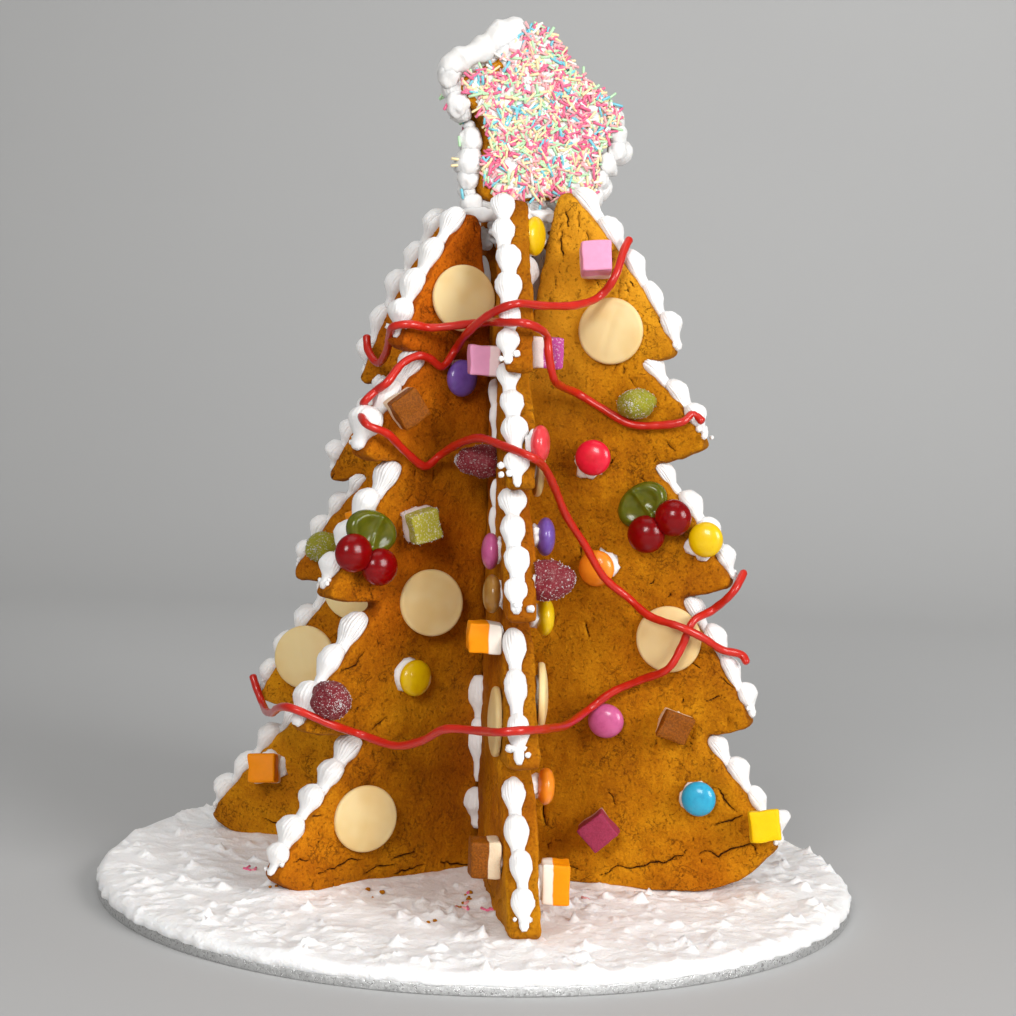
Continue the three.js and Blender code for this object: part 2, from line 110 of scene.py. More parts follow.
LACE_RADIUS = 1.6
LACES = {
    "lace_high": [
        (52, -14, 266), (50, -18, 262), (46, -24, 250), (41, -22, 243), (32, -31, 239),
        (19, -44, 238), (7, -59, 238), (-2, -53, 234), (-10, -42, 227), (-15, -23, 220),
        (-20, -26, 213), (-25, -30, 216), (-29, -33, 217), (-35, -35, 214), (-41, -40, 206),
        (-45, -37, 203), (-48, -18, 201), (-54, 19, 194),
    ],
    "lace_second": [
        (-52, 18, 225), (-53, 18, 218), (-51, 12, 213), (-48, -20, 216), (-45, -37, 223),
        (-39, -40, 228), (-33, -38, 229), (-25, -34, 228), (-10, -37, 230), (-2, -44, 231),
        (3, -58, 231), (11, -63, 231), (17, -58, 229), (20, -51, 226), (21, -50, 219),
        (23, -47, 211), (27, -31, 207), (34, -17, 204), (43, -18, 199), (55, -22, 193),
        (65, -25, 193), (75, -28, 195), (79, -26, 198), (83, -28, 195),
    ],
    "lace_third": [
        (-52, -44, 194), (-47, -49, 190), (-40, -46, 187), (-33, -38, 180), (-25, -31, 174),
        (-20, -28, 178), (-12, -42, 184), (-4, -56, 187), (5, -70, 185), (15, -80, 182),
        (20, -69, 178), (25, -56, 169), (30, -45, 158), (38, -34, 146), (47, -26, 132),
        (57, -23, 124), (65, -29, 118), (77, -37, 115), (86, -36, 111), (94, -32, 106),
        (102, -31, 104), (104, -33, 101),
    ],
    "lace_low": [
        (-97, 33, 79), (-95, 31, 74), (-92, 28, 68), (-84, -18, 72), (-72, -62, 82),
        (-57, -60, 76), (-46, -52, 71), (-32, -62, 69), (-22, -72, 73), (-13, -84, 80),
        (0, -96, 82), (7, -108, 84), (14, -109, 85), (21, -100, 84), (27, -79, 81),
        (34, -47, 77), (43, -23, 79), (52, -22, 86), (63, -26, 92), (73, -33, 98),
        (78, -33, 107), (82, -33, 117), (90, -27, 121), (97, -33, 129), (102, -27, 137),
    ],
}

# ---------------------------------------------------------------- sizes of the looks
BOARD_ROUNDING = 0.7
VOXEL = 1.4  # mesh size of a biscuit
SMOOTHINGS = 9
BISCUIT_KEEP = 0.5  # share of its mesh that is kept
SNOW_KEEP = 0.62
SNOW_SIDES = 700
SNOW_RINGS = 94
SNOW_RADIUS = 151.6  # with its swell it comes out over the card's edge
LACE_SIDES = 12
SHELL_HALF_WIDTH = 5.2
SHELL_HEIGHT = 6.0
SHELL_RIDGES = 13  # over the part of a shell that shows
SHELL_RINGS = 16
SHELL_HEAD = 0.40  # share of a shell where its head is widest
SHELL_TAIL_START = 0.76  # share where the head has run out into the tail
SHELL_WRAP = 0.35  # radians that the ridges go on past a half turn, at each side
STAR_ROUNDING = 2.8
STAR_SIDES = 220
GLAZE = 0.9  # depth of the icing on the star's faces
STAR_INSET = 40  # how far in from the star's edge its faces end, past the middle
SMALL_CRACKS = 46  # tries for a small crack on each face
CRACK_WIDTH = 0.38
CRACK_DEPTH = 1.5
CRACK_LIP = 0.16  # how far a crack's lips stand up
CRACK_REACH = 4.0
CRACK_STEP = 1.6
# How far the line of a crack sways from one step to the next.
NAMED_SWAY = 0.42
FOOT_SWAY = 0.35
SMALL_SWAY = 0.3
FOOT_CRACKS = (20, 37, 54, 71, 88)  # reach where each crack starts along a foot without named ones
SNOW_STROKES = 2200
STROKE_LENGTHS = (4, 11)
STROKE_WIDTHS = (1.8, 4.6)
STROKE_BEND = 0.5
COMB_PITCH = 1.9  # between the fine grooves along a stroke
OUTWARD_FROM = 100  # radius past which the strokes run outwards
PEAK_SHARE = 0.07
PEAK_SIZES = ((4, 7), (2.6, 4), (2.6, 4.4))  # length, width and height

# ---------------------------------------------------------------- camera
CAMERA_PLACE = (0.0, -0.900, 0.229)
CAMERA_PITCH = 4.62  # degrees, downwards
CAMERA_YAW = 0.51  # degrees, to the right
CAMERA_ROLL = 2.14
CAMERA_LENS = 78.9


def make_camera():
    camera = bpy.data.objects.new("camera", bpy.data.cameras.new("camera"))
    camera.data.lens = CAMERA_LENS
    camera.data.sensor_width = 36
    turn = Matrix.Rotation(math.radians(-CAMERA_YAW), 4, "Z")
    tilt = Matrix.Rotation(math.radians(90 - CAMERA_PITCH), 4, "X")
    roll = Matrix.Rotation(math.radians(CAMERA_ROLL), 4, "Z")
    camera.matrix_world = Matrix.Translation(CAMERA_PLACE) @ turn @ tilt @ roll
    bpy.context.scene.collection.objects.link(camera)
    bpy.context.scene.camera = camera


# ---------------------------------------------------------------- light and floor
FLOOR_FRONT = -3.0
FLOOR_BACK = 0.9
FLOOR_CURVE = 0.6  # radius of the curve up to the backdrop
BACKDROP_TOP = 3.5
FLOOR_SIDE = 4.0


def softbox(name, place, target, size, power):
    light = bpy.data.lights.new(name, "AREA")
    light.shape = "RECTANGLE"
    light.size, light.size_y = size
    light.energy = power
    lamp = bpy.data.objects.new(name, light)
    lamp.location = place
    aim = Vector(target) - Vector(place)
    lamp.rotation_euler = aim.to_track_quat("-Z", "Y").to_euler()
    bpy.context.scene.collection.objects.link(lamp)


def make_lights():
    softbox("softbox_left", (-0.45, -1.50, 0.80), (0, 0, 0.15), (0.5, 0.5), 14.5)
    softbox("softbox_right", (1.05, -1.10, 0.65), (0, 0, 0.15), (0.7, 0.7), 21)
    softbox("softbox_top", (0.0, -0.2, 1.4), (0, 0, 0.1), (0.9, 0.9), 3)
    softbox("backdrop_light", (0.5, 0.55, 1.05), (0.2, 1.5, 0.45), (1.6, 0.4), 6)
    world = bpy.data.worlds.new("studio")
    world.use_nodes = True
    world.node_tree.nodes["Background"].inputs["Color"].default_value = (1.0, 0.98, 0.95, 1)
    world.node_tree.nodes["Background"].inputs["Strength"].default_value = 0.22
    bpy.context.scene.world = world
    bpy.context.scene.view_settings.view_transform = "Standard"


def make_floor():
    """A pale floor that curves up into a backdrop."""
    profile = [(FLOOR_FRONT, 0.0), (FLOOR_BACK, 0.0)]
    for step in range(1, 13):
        angle = math.radians(90 * step / 12)
        forward = FLOOR_BACK + FLOOR_CURVE * math.sin(angle)
        profile.append((forward, FLOOR_CURVE - FLOOR_CURVE * math.cos(angle)))
    profile.append((FLOOR_BACK + FLOOR_CURVE, BACKDROP_TOP))
    points = [(x, y, z) for y, z in profile for x in (-FLOOR_SIDE, FLOOR_SIDE)]
    faces = [(2 * i, 2 * i + 1, 2 * i + 3, 2 * i + 2) for i in range(len(profile) - 1)]
    mesh = bpy.data.meshes.new("floor")
    mesh.from_pydata(points, [], faces)
    mesh.polygons.foreach_set("use_smooth", [True] * len(faces))
    floor = bpy.data.objects.new("floor", mesh)
    look = Finish("floor", colour=(0.46, 0.46, 0.455), roughness=0.75)
    look.colour(look.blend(look.noise(300), (0.45, 0.45, 0.448), (0.47, 0.47, 0.465)))
    mesh.materials.append(look.material)
    bpy.context.scene.collection.objects.link(floor)


# ---------------------------------------------------------------- node materials
class Finish:
    """A node material while it is put together."""

    SOCKETS = {
        "colour": "Base Color",
        "roughness": "Roughness",
        "metallic": "Metallic",
        "coat": "Coat Weight",
        "coat_roughness": "Coat Roughness",
        "through": "Transmission Weight",
        "glow": "Subsurface Weight",
        "glow_reach": "Subsurface Scale",
        "ior": "IOR",
        "gloss": "Specular IOR Level",
    }

    def __init__(self, name, glow_radius=None, **settings):
        self.material = bpy.data.materials.new(name)
        self.material.use_nodes = True
        self.tree = self.material.node_tree
        self.shader = self.tree.nodes["Principled BSDF"]
        for key, value in settings.items():
            if key == "colour":
                value = (*value, 1)
            self.shader.inputs[self.SOCKETS[key]].default_value = value
        if glow_radius:
            self.shader.inputs["Subsurface Radius"].default_value = glow_radius
        self.place = self.tree.nodes.new("ShaderNodeTexCoord").outputs["Object"]
        self.height = None

    def node(self, kind, **sockets):
        made = self.tree.nodes.new(kind)
        for name, value in sockets.items():
            self.feed(made.inputs[name], value)
        return made

    def feed(self, socket, value):
        if isinstance(value, bpy.types.NodeSocket):
            self.tree.links.new(value, socket)
        elif isinstance(value, tuple) and len(value) == 3 and socket.type == "RGBA":
            socket.default_value = (*value, 1)
        else:
            socket.default_value = value

    def noise(self, size, detail=3, rough=0.5, stretch=(1, 1, 1), warp=0.0):
        """Noise whose bumps are about size millimetres apart."""
        place = self.place
        if stretch != (1, 1, 1):
            mapping = self.node("ShaderNodeMapping", Vector=self.place)
            mapping.inputs["Scale"].default_value = stretch
            place = mapping.outputs["Vector"]
        made = self.node("ShaderNodeTexNoise", Vector=place, Scale=1 / (size * MM), Detail=detail)
        made.inputs["Roughness"].default_value = rough
        made.inputs["Distortion"].default_value = warp
        return made.outputs["Fac"]

    def attribute(self, name):
        made = self.tree.nodes.new("ShaderNodeAttribute")
        made.attribute_name = name
        return made.outputs["Fac"]

    def step(self, value, low, high, bottom=0.0, top=1.0):
        """A soft step: bottom where value is low or less, top where it is high or more."""
        made = self.tree.nodes.new("ShaderNodeMapRange")
        made.interpolation_type = "SMOOTHSTEP"
        for name, number in (("From Min", low), ("From Max", high), ("To Min", bottom), ("To Max", top)):
            made.inputs[name].default_value = number
        self.feed(made.inputs["Value"], value)
        return made.outputs["Result"]

    def times(self, value, factor):
        return self.math("MULTIPLY", value, factor)

    def math(self, operation, first, second):
        made = self.tree.nodes.new("ShaderNodeMath")
        made.operation = operation
        self.feed(made.inputs[0], first)
        self.feed(made.inputs[1], second)
        return made.outputs["Value"]

    def blend(self, share, first, second, mode="MIX"):
        made = self.tree.nodes.new("ShaderNodeMix")
        made.data_type = "RGBA"
        made.blend_type = mode
        self.feed(made.inputs["Factor"], share)
        self.feed(made.inputs[6], first)
        self.feed(made.inputs[7], second)
        return made.outputs[2]

    def ramp(self, value, stops):
        made = self.node("ShaderNodeValToRGB", Fac=value)
        elements = made.color_ramp.elements
        while len(elements) < len(stops):
            elements.new(0.5)
        for element, (position, colour) in zip(elements, stops):
            element.position = position
            element.color = (*colour, 1)
        return made.outputs["Color"]

    def colour(self, value):
        self.feed(self.shader.inputs["Base Color"], value)

    def roughness(self, value):
        self.feed(self.shader.inputs["Roughness"], value)

    def bump(self, height, depth, strength):
        """Relief of about depth millimetres. Calls stack on each other."""
        made = self.node("ShaderNodeBump", Height=height, Strength=strength, Distance=depth * MM)
        if self.height is not None:
            self.feed(made.inputs["Normal"], self.height)
        self.height = made.outputs["Normal"]
        self.feed(self.shader.inputs["Normal"], self.height)


def gingerbread():
    look = Finish("gingerbread", roughness=0.75, gloss=0.1)
    broad = look.noise(42, 3)
    patch = look.noise(8, 5, 0.65)
    grain = look.noise(1.1, 5, 0.75)
    tone = look.math("ADD", look.times(broad, 0.45), look.times(patch, 0.30))
    tone = look.math("ADD", tone, look.times(grain, 0.40))
    base = look.ramp(
        tone,
        [
            (0.44, (0.30, 0.088, 0.0008)),
            (0.57, (0.47, 0.166, 0.0012)),
            (0.72, (0.66, 0.278, 0.0050)),
        ],
    )
    # Partly each biscuit's own tone, partly painted shade (darker and redder above 0) and painted light
    # (paler below 0).
    bake = look.attribute("bake")
    browned_and_shaded = look.blend(1.0, base, (0.90, 0.50, 0.42), "MULTIPLY")
    base = look.blend(look.step(bake, 0.0, 1.0), base, browned_and_shaded)
    base = look.blend(look.step(bake, -1.0, 0.0, 1.0, 0.0), base, (0.80, 0.37, 0.02))
    pits = look.step(look.noise(1.3, 4, 0.6, warp=0.3), 0.32, 0.42, 1.0, 0.0)
    specks = look.step(look.noise(0.6, 3, 0.6), 0.30, 0.42, 1.0, 0.0)
    dark = look.math("MAXIMUM", look.times(pits, 0.30), look.times(specks, 0.36))
    vein = look.math("ABSOLUTE", look.math("SUBTRACT", look.noise(5.5, 4, 0.6, warp=0.4), 0.5), 0.0)
    crazed = look.step(look.noise(17, 2), 0.52, 0.62)
    crazing = look.times(look.step(vein, 0.004, 0.016, 1.0, 0.0), crazed)
    dark = look.math("MAXIMUM", dark, look.times(crazing, 0.6))
    cut = look.step(look.attribute("rim"), 0.3, 0.9)
    dark = look.times(dark, look.step(cut, 0.0, 1.0, 1.0, 0.35))
    # The cut rims are made darker and browner.
    rim_darkened = look.blend(1.0, base, (0.76, 0.70, 0.60), "MULTIPLY")
    base = look.blend(cut, base, rim_darkened)
    shaded = look.blend(dark, base, (0.13, 0.032, 0.001))
    # Painted shade in the cracks: a near-black colour fills them.
    crack = look.step(look.attribute("crack"), 0.2, 0.8)
    look.colour(look.blend(crack, shaded, (0.045, 0.012, 0.002)))
    relief = look.math("SUBTRACT", look.times(grain, 1.2), pits)
    relief = look.math("SUBTRACT", relief, look.times(crazing, 0.8))
    look.bump(relief, 0.5, 0.9)
    look.bump(look.noise(3.0, 4, 0.65), 0.9, 0.6)
    return look.material


def icing(name, clean, stained):
    look = Finish(name, (1.0, 0.9, 0.8), roughness=0.6, glow=0.35, glow_reach=0.0015, gloss=0.25)
    stain = look.step(look.noise(22, 3), 0.45, 0.75)
    look.colour(look.blend(stain, clean, stained))
    look.bump(look.noise(0.9, 3, 0.6), 0.2, 0.7)
    look.bump(look.noise(3.5, 3), 0.5, 0.5)
    return look.material


def snow_icing():
    look = Finish(
        "snow_icing", (1.0, 0.9, 0.8), roughness=0.55, glow=0.45, glow_reach=0.003, gloss=0.25
    )
    near = look.attribute("near_tree")
    stain = look.times(look.step(look.noise(12, 4, 0.6), 0.47, 0.66), near)
    look.colour(look.blend(stain, (0.92, 0.91, 0.90), (0.80, 0.71, 0.67)))
    look.bump(look.noise(1.3, 4, 0.65), 0.5, 0.7)
    look.bump(look.noise(3.6, 3, 0.6, warp=0.5), 1.1, 0.6)
    return look.material


def foil():
    look = Finish("foil", metallic=1.0, roughness=0.38)
    # Painted glints: the foil's colour is spotted dark and bright in place of the glitter off its crinkles.
    look.colour(look.blend(look.noise(1.6, 4, 0.75), (0.48, 0.48, 0.48), (0.84, 0.84, 0.83)))
    look.roughness(look.step(look.noise(1.0, 2), 0.3, 0.7, 0.22, 0.55))
    look.bump(look.noise(0.8, 4, 0.8, stretch=(1, 1, 0.6)), 0.5, 0.8)
    look.bump(look.noise(4, 3), 0.7, 0.6)
    return look.material


def lace_jelly():
    look = Finish(
        "lace", (1.0, 0.15, 0.08), roughness=0.34, coat=0.3, coat_roughness=0.15, gloss=0.35,
        glow=0.2, glow_reach=0.0015,
    )
    look.colour(look.blend(look.noise(9, 3), (0.42, 0.008, 0.004), (0.62, 0.022, 0.008)))
    look.bump(look.noise(1.6, 2), 0.16, 0.5)
    return look.material


def shell_sweet(name, pale, deep):
    """Hard sugar-shelled sweet."""
    look = Finish(name, roughness=0.32, coat=0.4, coat_roughness=0.12, gloss=0.3)
    look.colour(look.blend(look.step(look.noise(3.0, 4, 0.6), 0.4, 0.75), pale, deep))
    look.bump(look.noise(1.4, 2), 0.05, 0.5)
    return look.material


def cream_button():
    look = Finish(
        "cream_button", (1.0, 0.7, 0.35), roughness=0.5, glow=0.3, glow_reach=0.002, gloss=0.25
    )
    warm = look.step(look.noise(16, 2), 0.35, 0.7)
    look.colour(look.blend(warm, (0.77, 0.60, 0.30), (0.72, 0.51, 0.22)))
    look.bump(look.noise(4, 2), 0.1, 0.5)
    return look.material


def gum(name, pale, deep):
    """Soft gum, dull with fine sugar."""
    look = Finish(name, (1.0, 0.5, 0.5), roughness=0.55, glow=0.35, glow_reach=0.0025, gloss=0.25)
    frost = look.step(look.noise(0.8, 4, 0.7), 0.50, 0.68)
    base = look.blend(look.noise(3, 3), deep, pale)
    look.colour(look.blend(look.times(frost, 0.22), base, (0.82, 0.74, 0.68)))
    look.bump(look.noise(0.8, 3, 0.7), 0.35, 0.9)
    return look.material


def jelly(name, pale, deep, radius):
    """Clear jelly."""
    look = Finish(
        name, radius, roughness=0.2, coat=0.2, coat_roughness=0.15, through=0.35, glow=0.7,
        glow_reach=0.004, ior=1.35, gloss=0.3,
    )
    look.colour(look.blend(look.noise(5, 3), deep, pale))
    look.bump(look.noise(2.0, 2), 0.15, 0.5)
    return look.material


def layered(name, top, base, split, sugared, grain):
    """A two-layer sweet. The lift attribute is 0 on the biscuit and 1 at the outer side."""
    look = Finish(name, (1.0, 0.6, 0.5), roughness=0.5, glow=0.2, glow_reach=0.002, gloss=0.15)
    wobble = look.times(look.math("SUBTRACT", look.noise(6, 2), 0.5), 0.10)
    lift = look.math("ADD", look.attribute("lift"), wobble)
    body = look.blend(look.noise(2.5, 4, 0.6), tuple(0.86 * c for c in top), top)
    if grain:
        pitted = look.step(look.noise(0.7, 3, 0.7), 0.42, 0.58, 1.0, 0.0)
        body = look.blend(look.times(pitted, grain), body, tuple(0.35 * c for c in top))
        look.bump(look.noise(0.7, 3, 0.7), 0.4, 0.9)
    pale = look.blend(look.noise(2.5, 3), tuple(0.93 * c for c in base), base)
    shown = look.blend(look.step(lift, split - 0.02, split + 0.02), pale, body)
    if sugared:
        frost = look.step(look.noise(0.8, 3, 0.7), 0.52, 0.68)
        shown = look.blend(look.times(frost, 0.5), shown, (0.88, 0.84, 0.84))
        look.bump(look.noise(0.8, 3, 0.7), 0.3, 0.8)
    look.colour(shown)
    look.bump(look.noise(2.2, 3), 0.15, 0.6)
    return look.material


def strand_finish():
    """Sprinkles: the tint attribute picks one of six colours."""
    look = Finish("sprinkle", roughness=0.42, gloss=0.45)
    shades = [
        (0.0, (0.76, 0.05, 0.20)),
        (0.27, (0.84, 0.34, 0.36)),
        (0.45, (0.86, 0.70, 0.36)),
        (0.66, (0.44, 0.76, 0.42)),
        (0.79, (0.10, 0.54, 0.66)),
        (0.90, (0.86, 0.83, 0.78)),
    ]
    made = look.ramp(look.attribute("tint"), shades)
    made.node.color_ramp.interpolation = "CONSTANT"
    look.colour(look.blend(look.times(look.noise(0.8, 3), 0.25), made, (0.85, 0.82, 0.76)))
    look.bump(look.noise(0.5, 2), 0.06, 0.5)
    return look.material


def sugar():
    look = Finish("sugar", roughness=0.18, through=0.35, ior=1.45, colour=(0.95, 0.93, 0.92))
    look.colour(look.blend(look.noise(1.0, 2), (0.97, 0.95, 0.94), (0.86, 0.82, 0.82)))
    return look.material


# ---------------------------------------------------------------- mesh helpers
class Heap:
    """The points and faces of one piece, gathered bit by bit."""

    def __init__(self):
        self.points = []
        self.faces = []
        self.values = {}
        self.count = 0

    def add(self, points, faces, **values):
        self.points.append(np.asarray(points, float))
        self.faces.extend(np.asarray(group) + self.count for group in faces)
        for name, value in values.items():
            self.values.setdefault(name, []).append(np.broadcast_to(value, len(points)))
        self.count += len(points)

    def build(self, name, material, slot, replaces=(), place=None, keep=1.0):
        points = np.concatenate(self.points)
        if place is not None:
            points = moved(points, place)
        corners = np.concatenate([group.ravel() for group in self.faces])
        sizes = np.concatenate([np.full(len(g), g.shape[1]) for g in self.faces])
        mesh = bpy.data.meshes.new(name)
        mesh.vertices.add(len(points))
        mesh.vertices.foreach_set("co", (points * MM).astype(np.float32).ravel())
        mesh.loops.add(len(corners))
        mesh.loops.foreach_set("vertex_index", corners.astype(np.int32))
        mesh.polygons.add(len(sizes))
        mesh.polygons.foreach_set("loop_start", (np.cumsum(sizes) - sizes).astype(np.int32))
        mesh.polygons.foreach_set("use_smooth", np.ones(len(sizes), bool))
        for label, parts in self.values.items():
            mark(mesh, label, np.concatenate(parts))
        mesh.update(calc_edges=True)
        mesh.validate()
        if keep < 1:
            mesh = thinned(mesh, keep)
        mesh.materials.append(material)
        settle(mesh, name, replaces)


def mark(mesh, label, values):
    """Gives each point of a mesh a number that its material can read."""
    attribute = mesh.attributes.new(label, "FLOAT", "POINT")
    attribute.data.foreach_set("value", values.astype(np.float32))


def settle(mesh, name, replaces):
    """Puts a finished mesh in the scene as a piece that rides on the one body."""
    made = bpy.data.objects.new(name, mesh)
    bpy.context.scene.collection.objects.link(made)
    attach(made, "root")
    if replaces:
        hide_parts(*replaces)


def moved(points, matrix):
    matrix = np.array(matrix)
    return points @ matrix[:3, :3].T + matrix[:3, 3]


def circle(sides):
    """Even angles all the way round."""
    return np.linspace(0, 2 * math.pi, sides, endpoint=False)


def polar(reach, degrees):
    """A place by its reach and its angle."""
    return reach * math.cos(math.radians(degrees)), reach * math.sin(math.radians(degrees))


def level_ring(radius, turn, height):
    """Points round the Z axis at one height."""
    return np.c_[radius * np.cos(turn), radius * np.sin(turn), np.full(len(turn), height)]


def skin(rings):
    """A closed surface through rings of points, with a point in the middle of each end."""
    count, sides = rings.shape[:2]
    points = np.concatenate([rings.reshape(-1, 3), [rings[0].mean(0)], [rings[-1].mean(0)]])
    ring = np.arange(count - 1)[:, None] * sides
    side = np.arange(sides)[None, :]
    after = (side + 1) % sides
    quads = np.stack([ring + side, ring + after, ring + sides + after, ring + sides + side], -1)
    first = count * sides
    far = (count - 1) * sides
    start = np.stack([np.full(sides, first), after[0], side[0]], -1)
    finish = np.stack([np.full(sides, first + 1), far + side[0], far + after[0]], -1)
    return points, [quads.reshape(-1, 4), np.concatenate([start, finish])]


def waves(points, size, seed, count=24):
    """Smooth noise with unit spread, whose bumps are about size apart."""
    rng = np.random.default_rng(seed)
    direction = rng.normal(size=(count, points.shape[1]))
    direction /= np.linalg.norm(direction, axis=1)[:, None]
    rate = direction * (2 * math.pi / size) * rng.uniform(0.6, 1.5, (count, 1))
    phase = rng.uniform(0, 2 * math.pi, count)
    return np.cos(points @ rate.T + phase).sum(1) * math.sqrt(2 / count)


def catmull(points, per_span, closed=False):
    """Centripetal Catmull-Rom curve through the points."""
    points = [np.array(p, float) for p in points]
    count = len(points)
    spans = count if closed else count - 1
    made = []
    for span in range(spans):
        p1 = points[span]
        p2 = points[(span + 1) % count]
        p0 = points[span - 1] if closed or span > 0 else 2 * p1 - p2
        p3 = points[(span + 2) % count] if closed or span + 2 < count else 2 * p2 - p1
        knots = np.cumsum([0] + [math.sqrt(np.linalg.norm(b - a)) for a, b in ((p0, p1), (p1, p2), (p2, p3))])
        for t in np.linspace(knots[1], knots[2], per_span, endpoint=False):
            made.append(knot_point(knots, (p0, p1, p2, p3), t))
    if not closed:
        made.append(points[-1])
    return np.array(made)


def between(low, high, t, first, second):
    return (high - t) / (high - low) * first + (t - low) / (high - low) * second


def knot_point(knots, points, t):
    """Barry and Goldman's way to a point of a Catmull-Rom span."""
    for reach in (1, 2):
        pairs = zip(knots, knots[reach:], points, points[1:])
        points = [between(low, high, t, first, second) for low, high, first, second in pairs]
    return between(knots[1], knots[2], t, *points)


def uneven(points, rough, size, rng, middle):
    """The points with waves of about that size, in and out from the middle."""
    return points + rough * waves(points, size, rng.integers(1e6))[:, None] * unit(points - middle)


def tree_matrix():
    return Matrix.Translation((TREE_X, TREE_Y, 0)) @ Matrix.Rotation(math.radians(TREE_LEAN), 4, "Y")


def fin_matrix(name):
    return tree_matrix() @ Matrix.Rotation(math.radians(FINS[name].azimuth), 4, "Z")


def star_matrix():
    return Matrix.Translation(STAR_MIDDLE) @ Matrix.Rotation(math.radians(STAR_AZIMUTH), 4, "Z")


# ---------------------------------------------------------------- biscuits
def bezier(a, b, c, steps):
    a, b, c = (np.array(p, float) for p in (a, b, c))
    t = np.linspace(0, 1, steps, endpoint=False)[:, None]
    return (1 - t) ** 2 * a + 2 * t * (1 - t) * b + t**2 * c


def tier_edge(fin, tier):
    """The three control points of a tier's upper edge, as (reach, height)."""
    start = np.array(fin.apex if tier == 0 else fin.notches[tier - 1], float)
    tip = np.array(fin.tips[tier], float)
    end = tip + (-1, 3.5)
    along = (end - start) / np.linalg.norm(end - start)
    bulge = 6 if tier == 0 else 3.5
    middle = (start + end) / 2 + bulge * np.array((-along[1], along[0]))
    return start, middle, end


def fin_outline(fin):
    """A fin's outline, anticlockwise in its (reach, height) plane."""
    low_reach, low_height = fin.tips[-1]
    apex = np.array(fin.apex, float)
    flat = (low_reach * FIN_FLAT_FOOT, FIN_FOOT)
    corner = (low_reach - 4, low_height - 2.5)
    parts = [np.array([(FIN_CORE, FIN_FOOT)])]
    parts.append(bezier(flat, (low_reach - 14, FIN_FOOT + 1), corner, 16))
    parts.append(bezier(corner, (low_reach + 1.5, low_height), (low_reach - 1, low_height + 3.5), 8))
    for tier in range(len(fin.tips) - 1, -1, -1):
        start, middle, end = tier_edge(fin, tier)
        parts.append(bezier(end, middle, start, 26))
        if tier > 0:
            tip = np.array(fin.tips[tier - 1], float)
            notch = np.array(fin.notches[tier - 1], float)
            parts.append(bezier(notch, notch + (8, -2), tip + (-4, -1.5), 12))
            parts.append(bezier(tip + (-4, -1.5), tip + (1.5, -1), tip + (-1, 3.5), 8))
    parts.append(bezier(apex, apex + (-5, 0), apex + (-6, -7), 8))
    parts.append(np.array([apex + (-6, -7), (FIN_CORE, FIN_CORE_TOP)]))
    return np.concatenate(parts)


def slab(outline, near, far):
    """A flat outline made thick along Y."""
    count = len(outline)
    front = np.c_[outline[:, 0], np.full(count, near), outline[:, 1]]
    back = front + (0, far - near, 0)
    faces = [tuple(range(count)), tuple(range(2 * count - 1, count - 1, -1))]
    faces += [(i, i + count, (i + 1) % count + count, (i + 1) % count) for i in range(count)]
    return np.concatenate([front, back]), faces


def remeshed(points, faces):
    """The same solid, covered with small even squares."""
    raw = bpy.data.meshes.new("raw")
    raw.from_pydata((points * MM).tolist(), [], faces)
    return modified(raw, "REMESH", VOXEL * MM)


def thinned(mesh, share):
    """The same surface with fewer points, above all where it is flat."""
    return modified(mesh, "DECIMATE", share)


def modified(mesh, kind, amount):
    """What one modifier makes of a mesh, in place of the mesh itself."""
    block = bpy.data.objects.new("raw", mesh)
    bpy.context.scene.collection.objects.link(block)
    modifier = block.modifiers.new("change", kind)
    if kind == "REMESH":
        modifier.mode = "VOXEL"
        modifier.voxel_size = amount
    else:
        modifier.ratio = amount
    graph = bpy.context.evaluated_depsgraph_get()
    made = bpy.data.meshes.new_from_object(block.evaluated_get(graph))
    bpy.data.objects.remove(block)
    bpy.data.meshes.remove(mesh)
    return made


def mesh_points(mesh):
    points = np.zeros(len(mesh.vertices) * 3, np.float32)
    mesh.vertices.foreach_get("co", points)
    return points.reshape(-1, 3).astype(float) / MM


def mesh_edges(mesh):
    edges = np.zeros(len(mesh.edges) * 2, np.int32)
    mesh.edges.foreach_get("vertices", edges)
    return edges.reshape(-1, 2)


def set_points(mesh, points):
    mesh.vertices.foreach_set("co", (points * MM).astype(np.float32).ravel())
    mesh.update()


def smoothed(points, edges):
    """Each point drawn towards its neighbours."""
    count = len(points)
    both = np.concatenate([edges, edges[:, ::-1]])
    degree = np.bincount(both[:, 0], minlength=count)[:, None]
    for _ in range(SMOOTHINGS):
        total = np.stack([np.bincount(both[:, 0], points[both[:, 1], k], count) for k in range(3)], -1)
        points = points + 0.5 * (total / degree - points)
    return points


def ragged(start, end, seed, sway):
    """A cracked line between two places."""
    start, end = np.array(start, float), np.array(end, float)
    length = np.linalg.norm(end - start)
    steps = max(4, int(length / CRACK_STEP))
    rng = np.random.default_rng(seed)
    t = np.linspace(0, 1, steps + 1)
    across = np.array((-(end - start)[1], (end - start)[0])) / length
    drift = np.cumsum(rng.normal(0, sway, steps + 1))
    drift -= t * drift[-1] + (1 - t) * drift[0]
    return start + t[:, None] * (end - start) + drift[:, None] * across


def line_distance(places, line):
    """Distance of each place from a line of points, and how far along the line it is, 0 to 1."""
    best = np.full(len(places), 1e9)
    share = np.zeros(len(places))
    spans = len(line) - 1
    for span in range(spans):
        a, b = line[span], line[span + 1]
        t = np.clip((places - a) @ (b - a) / max((b - a) @ (b - a), 1e-9), 0, 1)
        d = np.linalg.norm(places - (a + t[:, None] * (b - a)), axis=1)
        nearer = d < best
        best[nearer] = d[nearer]
        share[nearer] = ((span + t) / spans)[nearer]
    return best, share


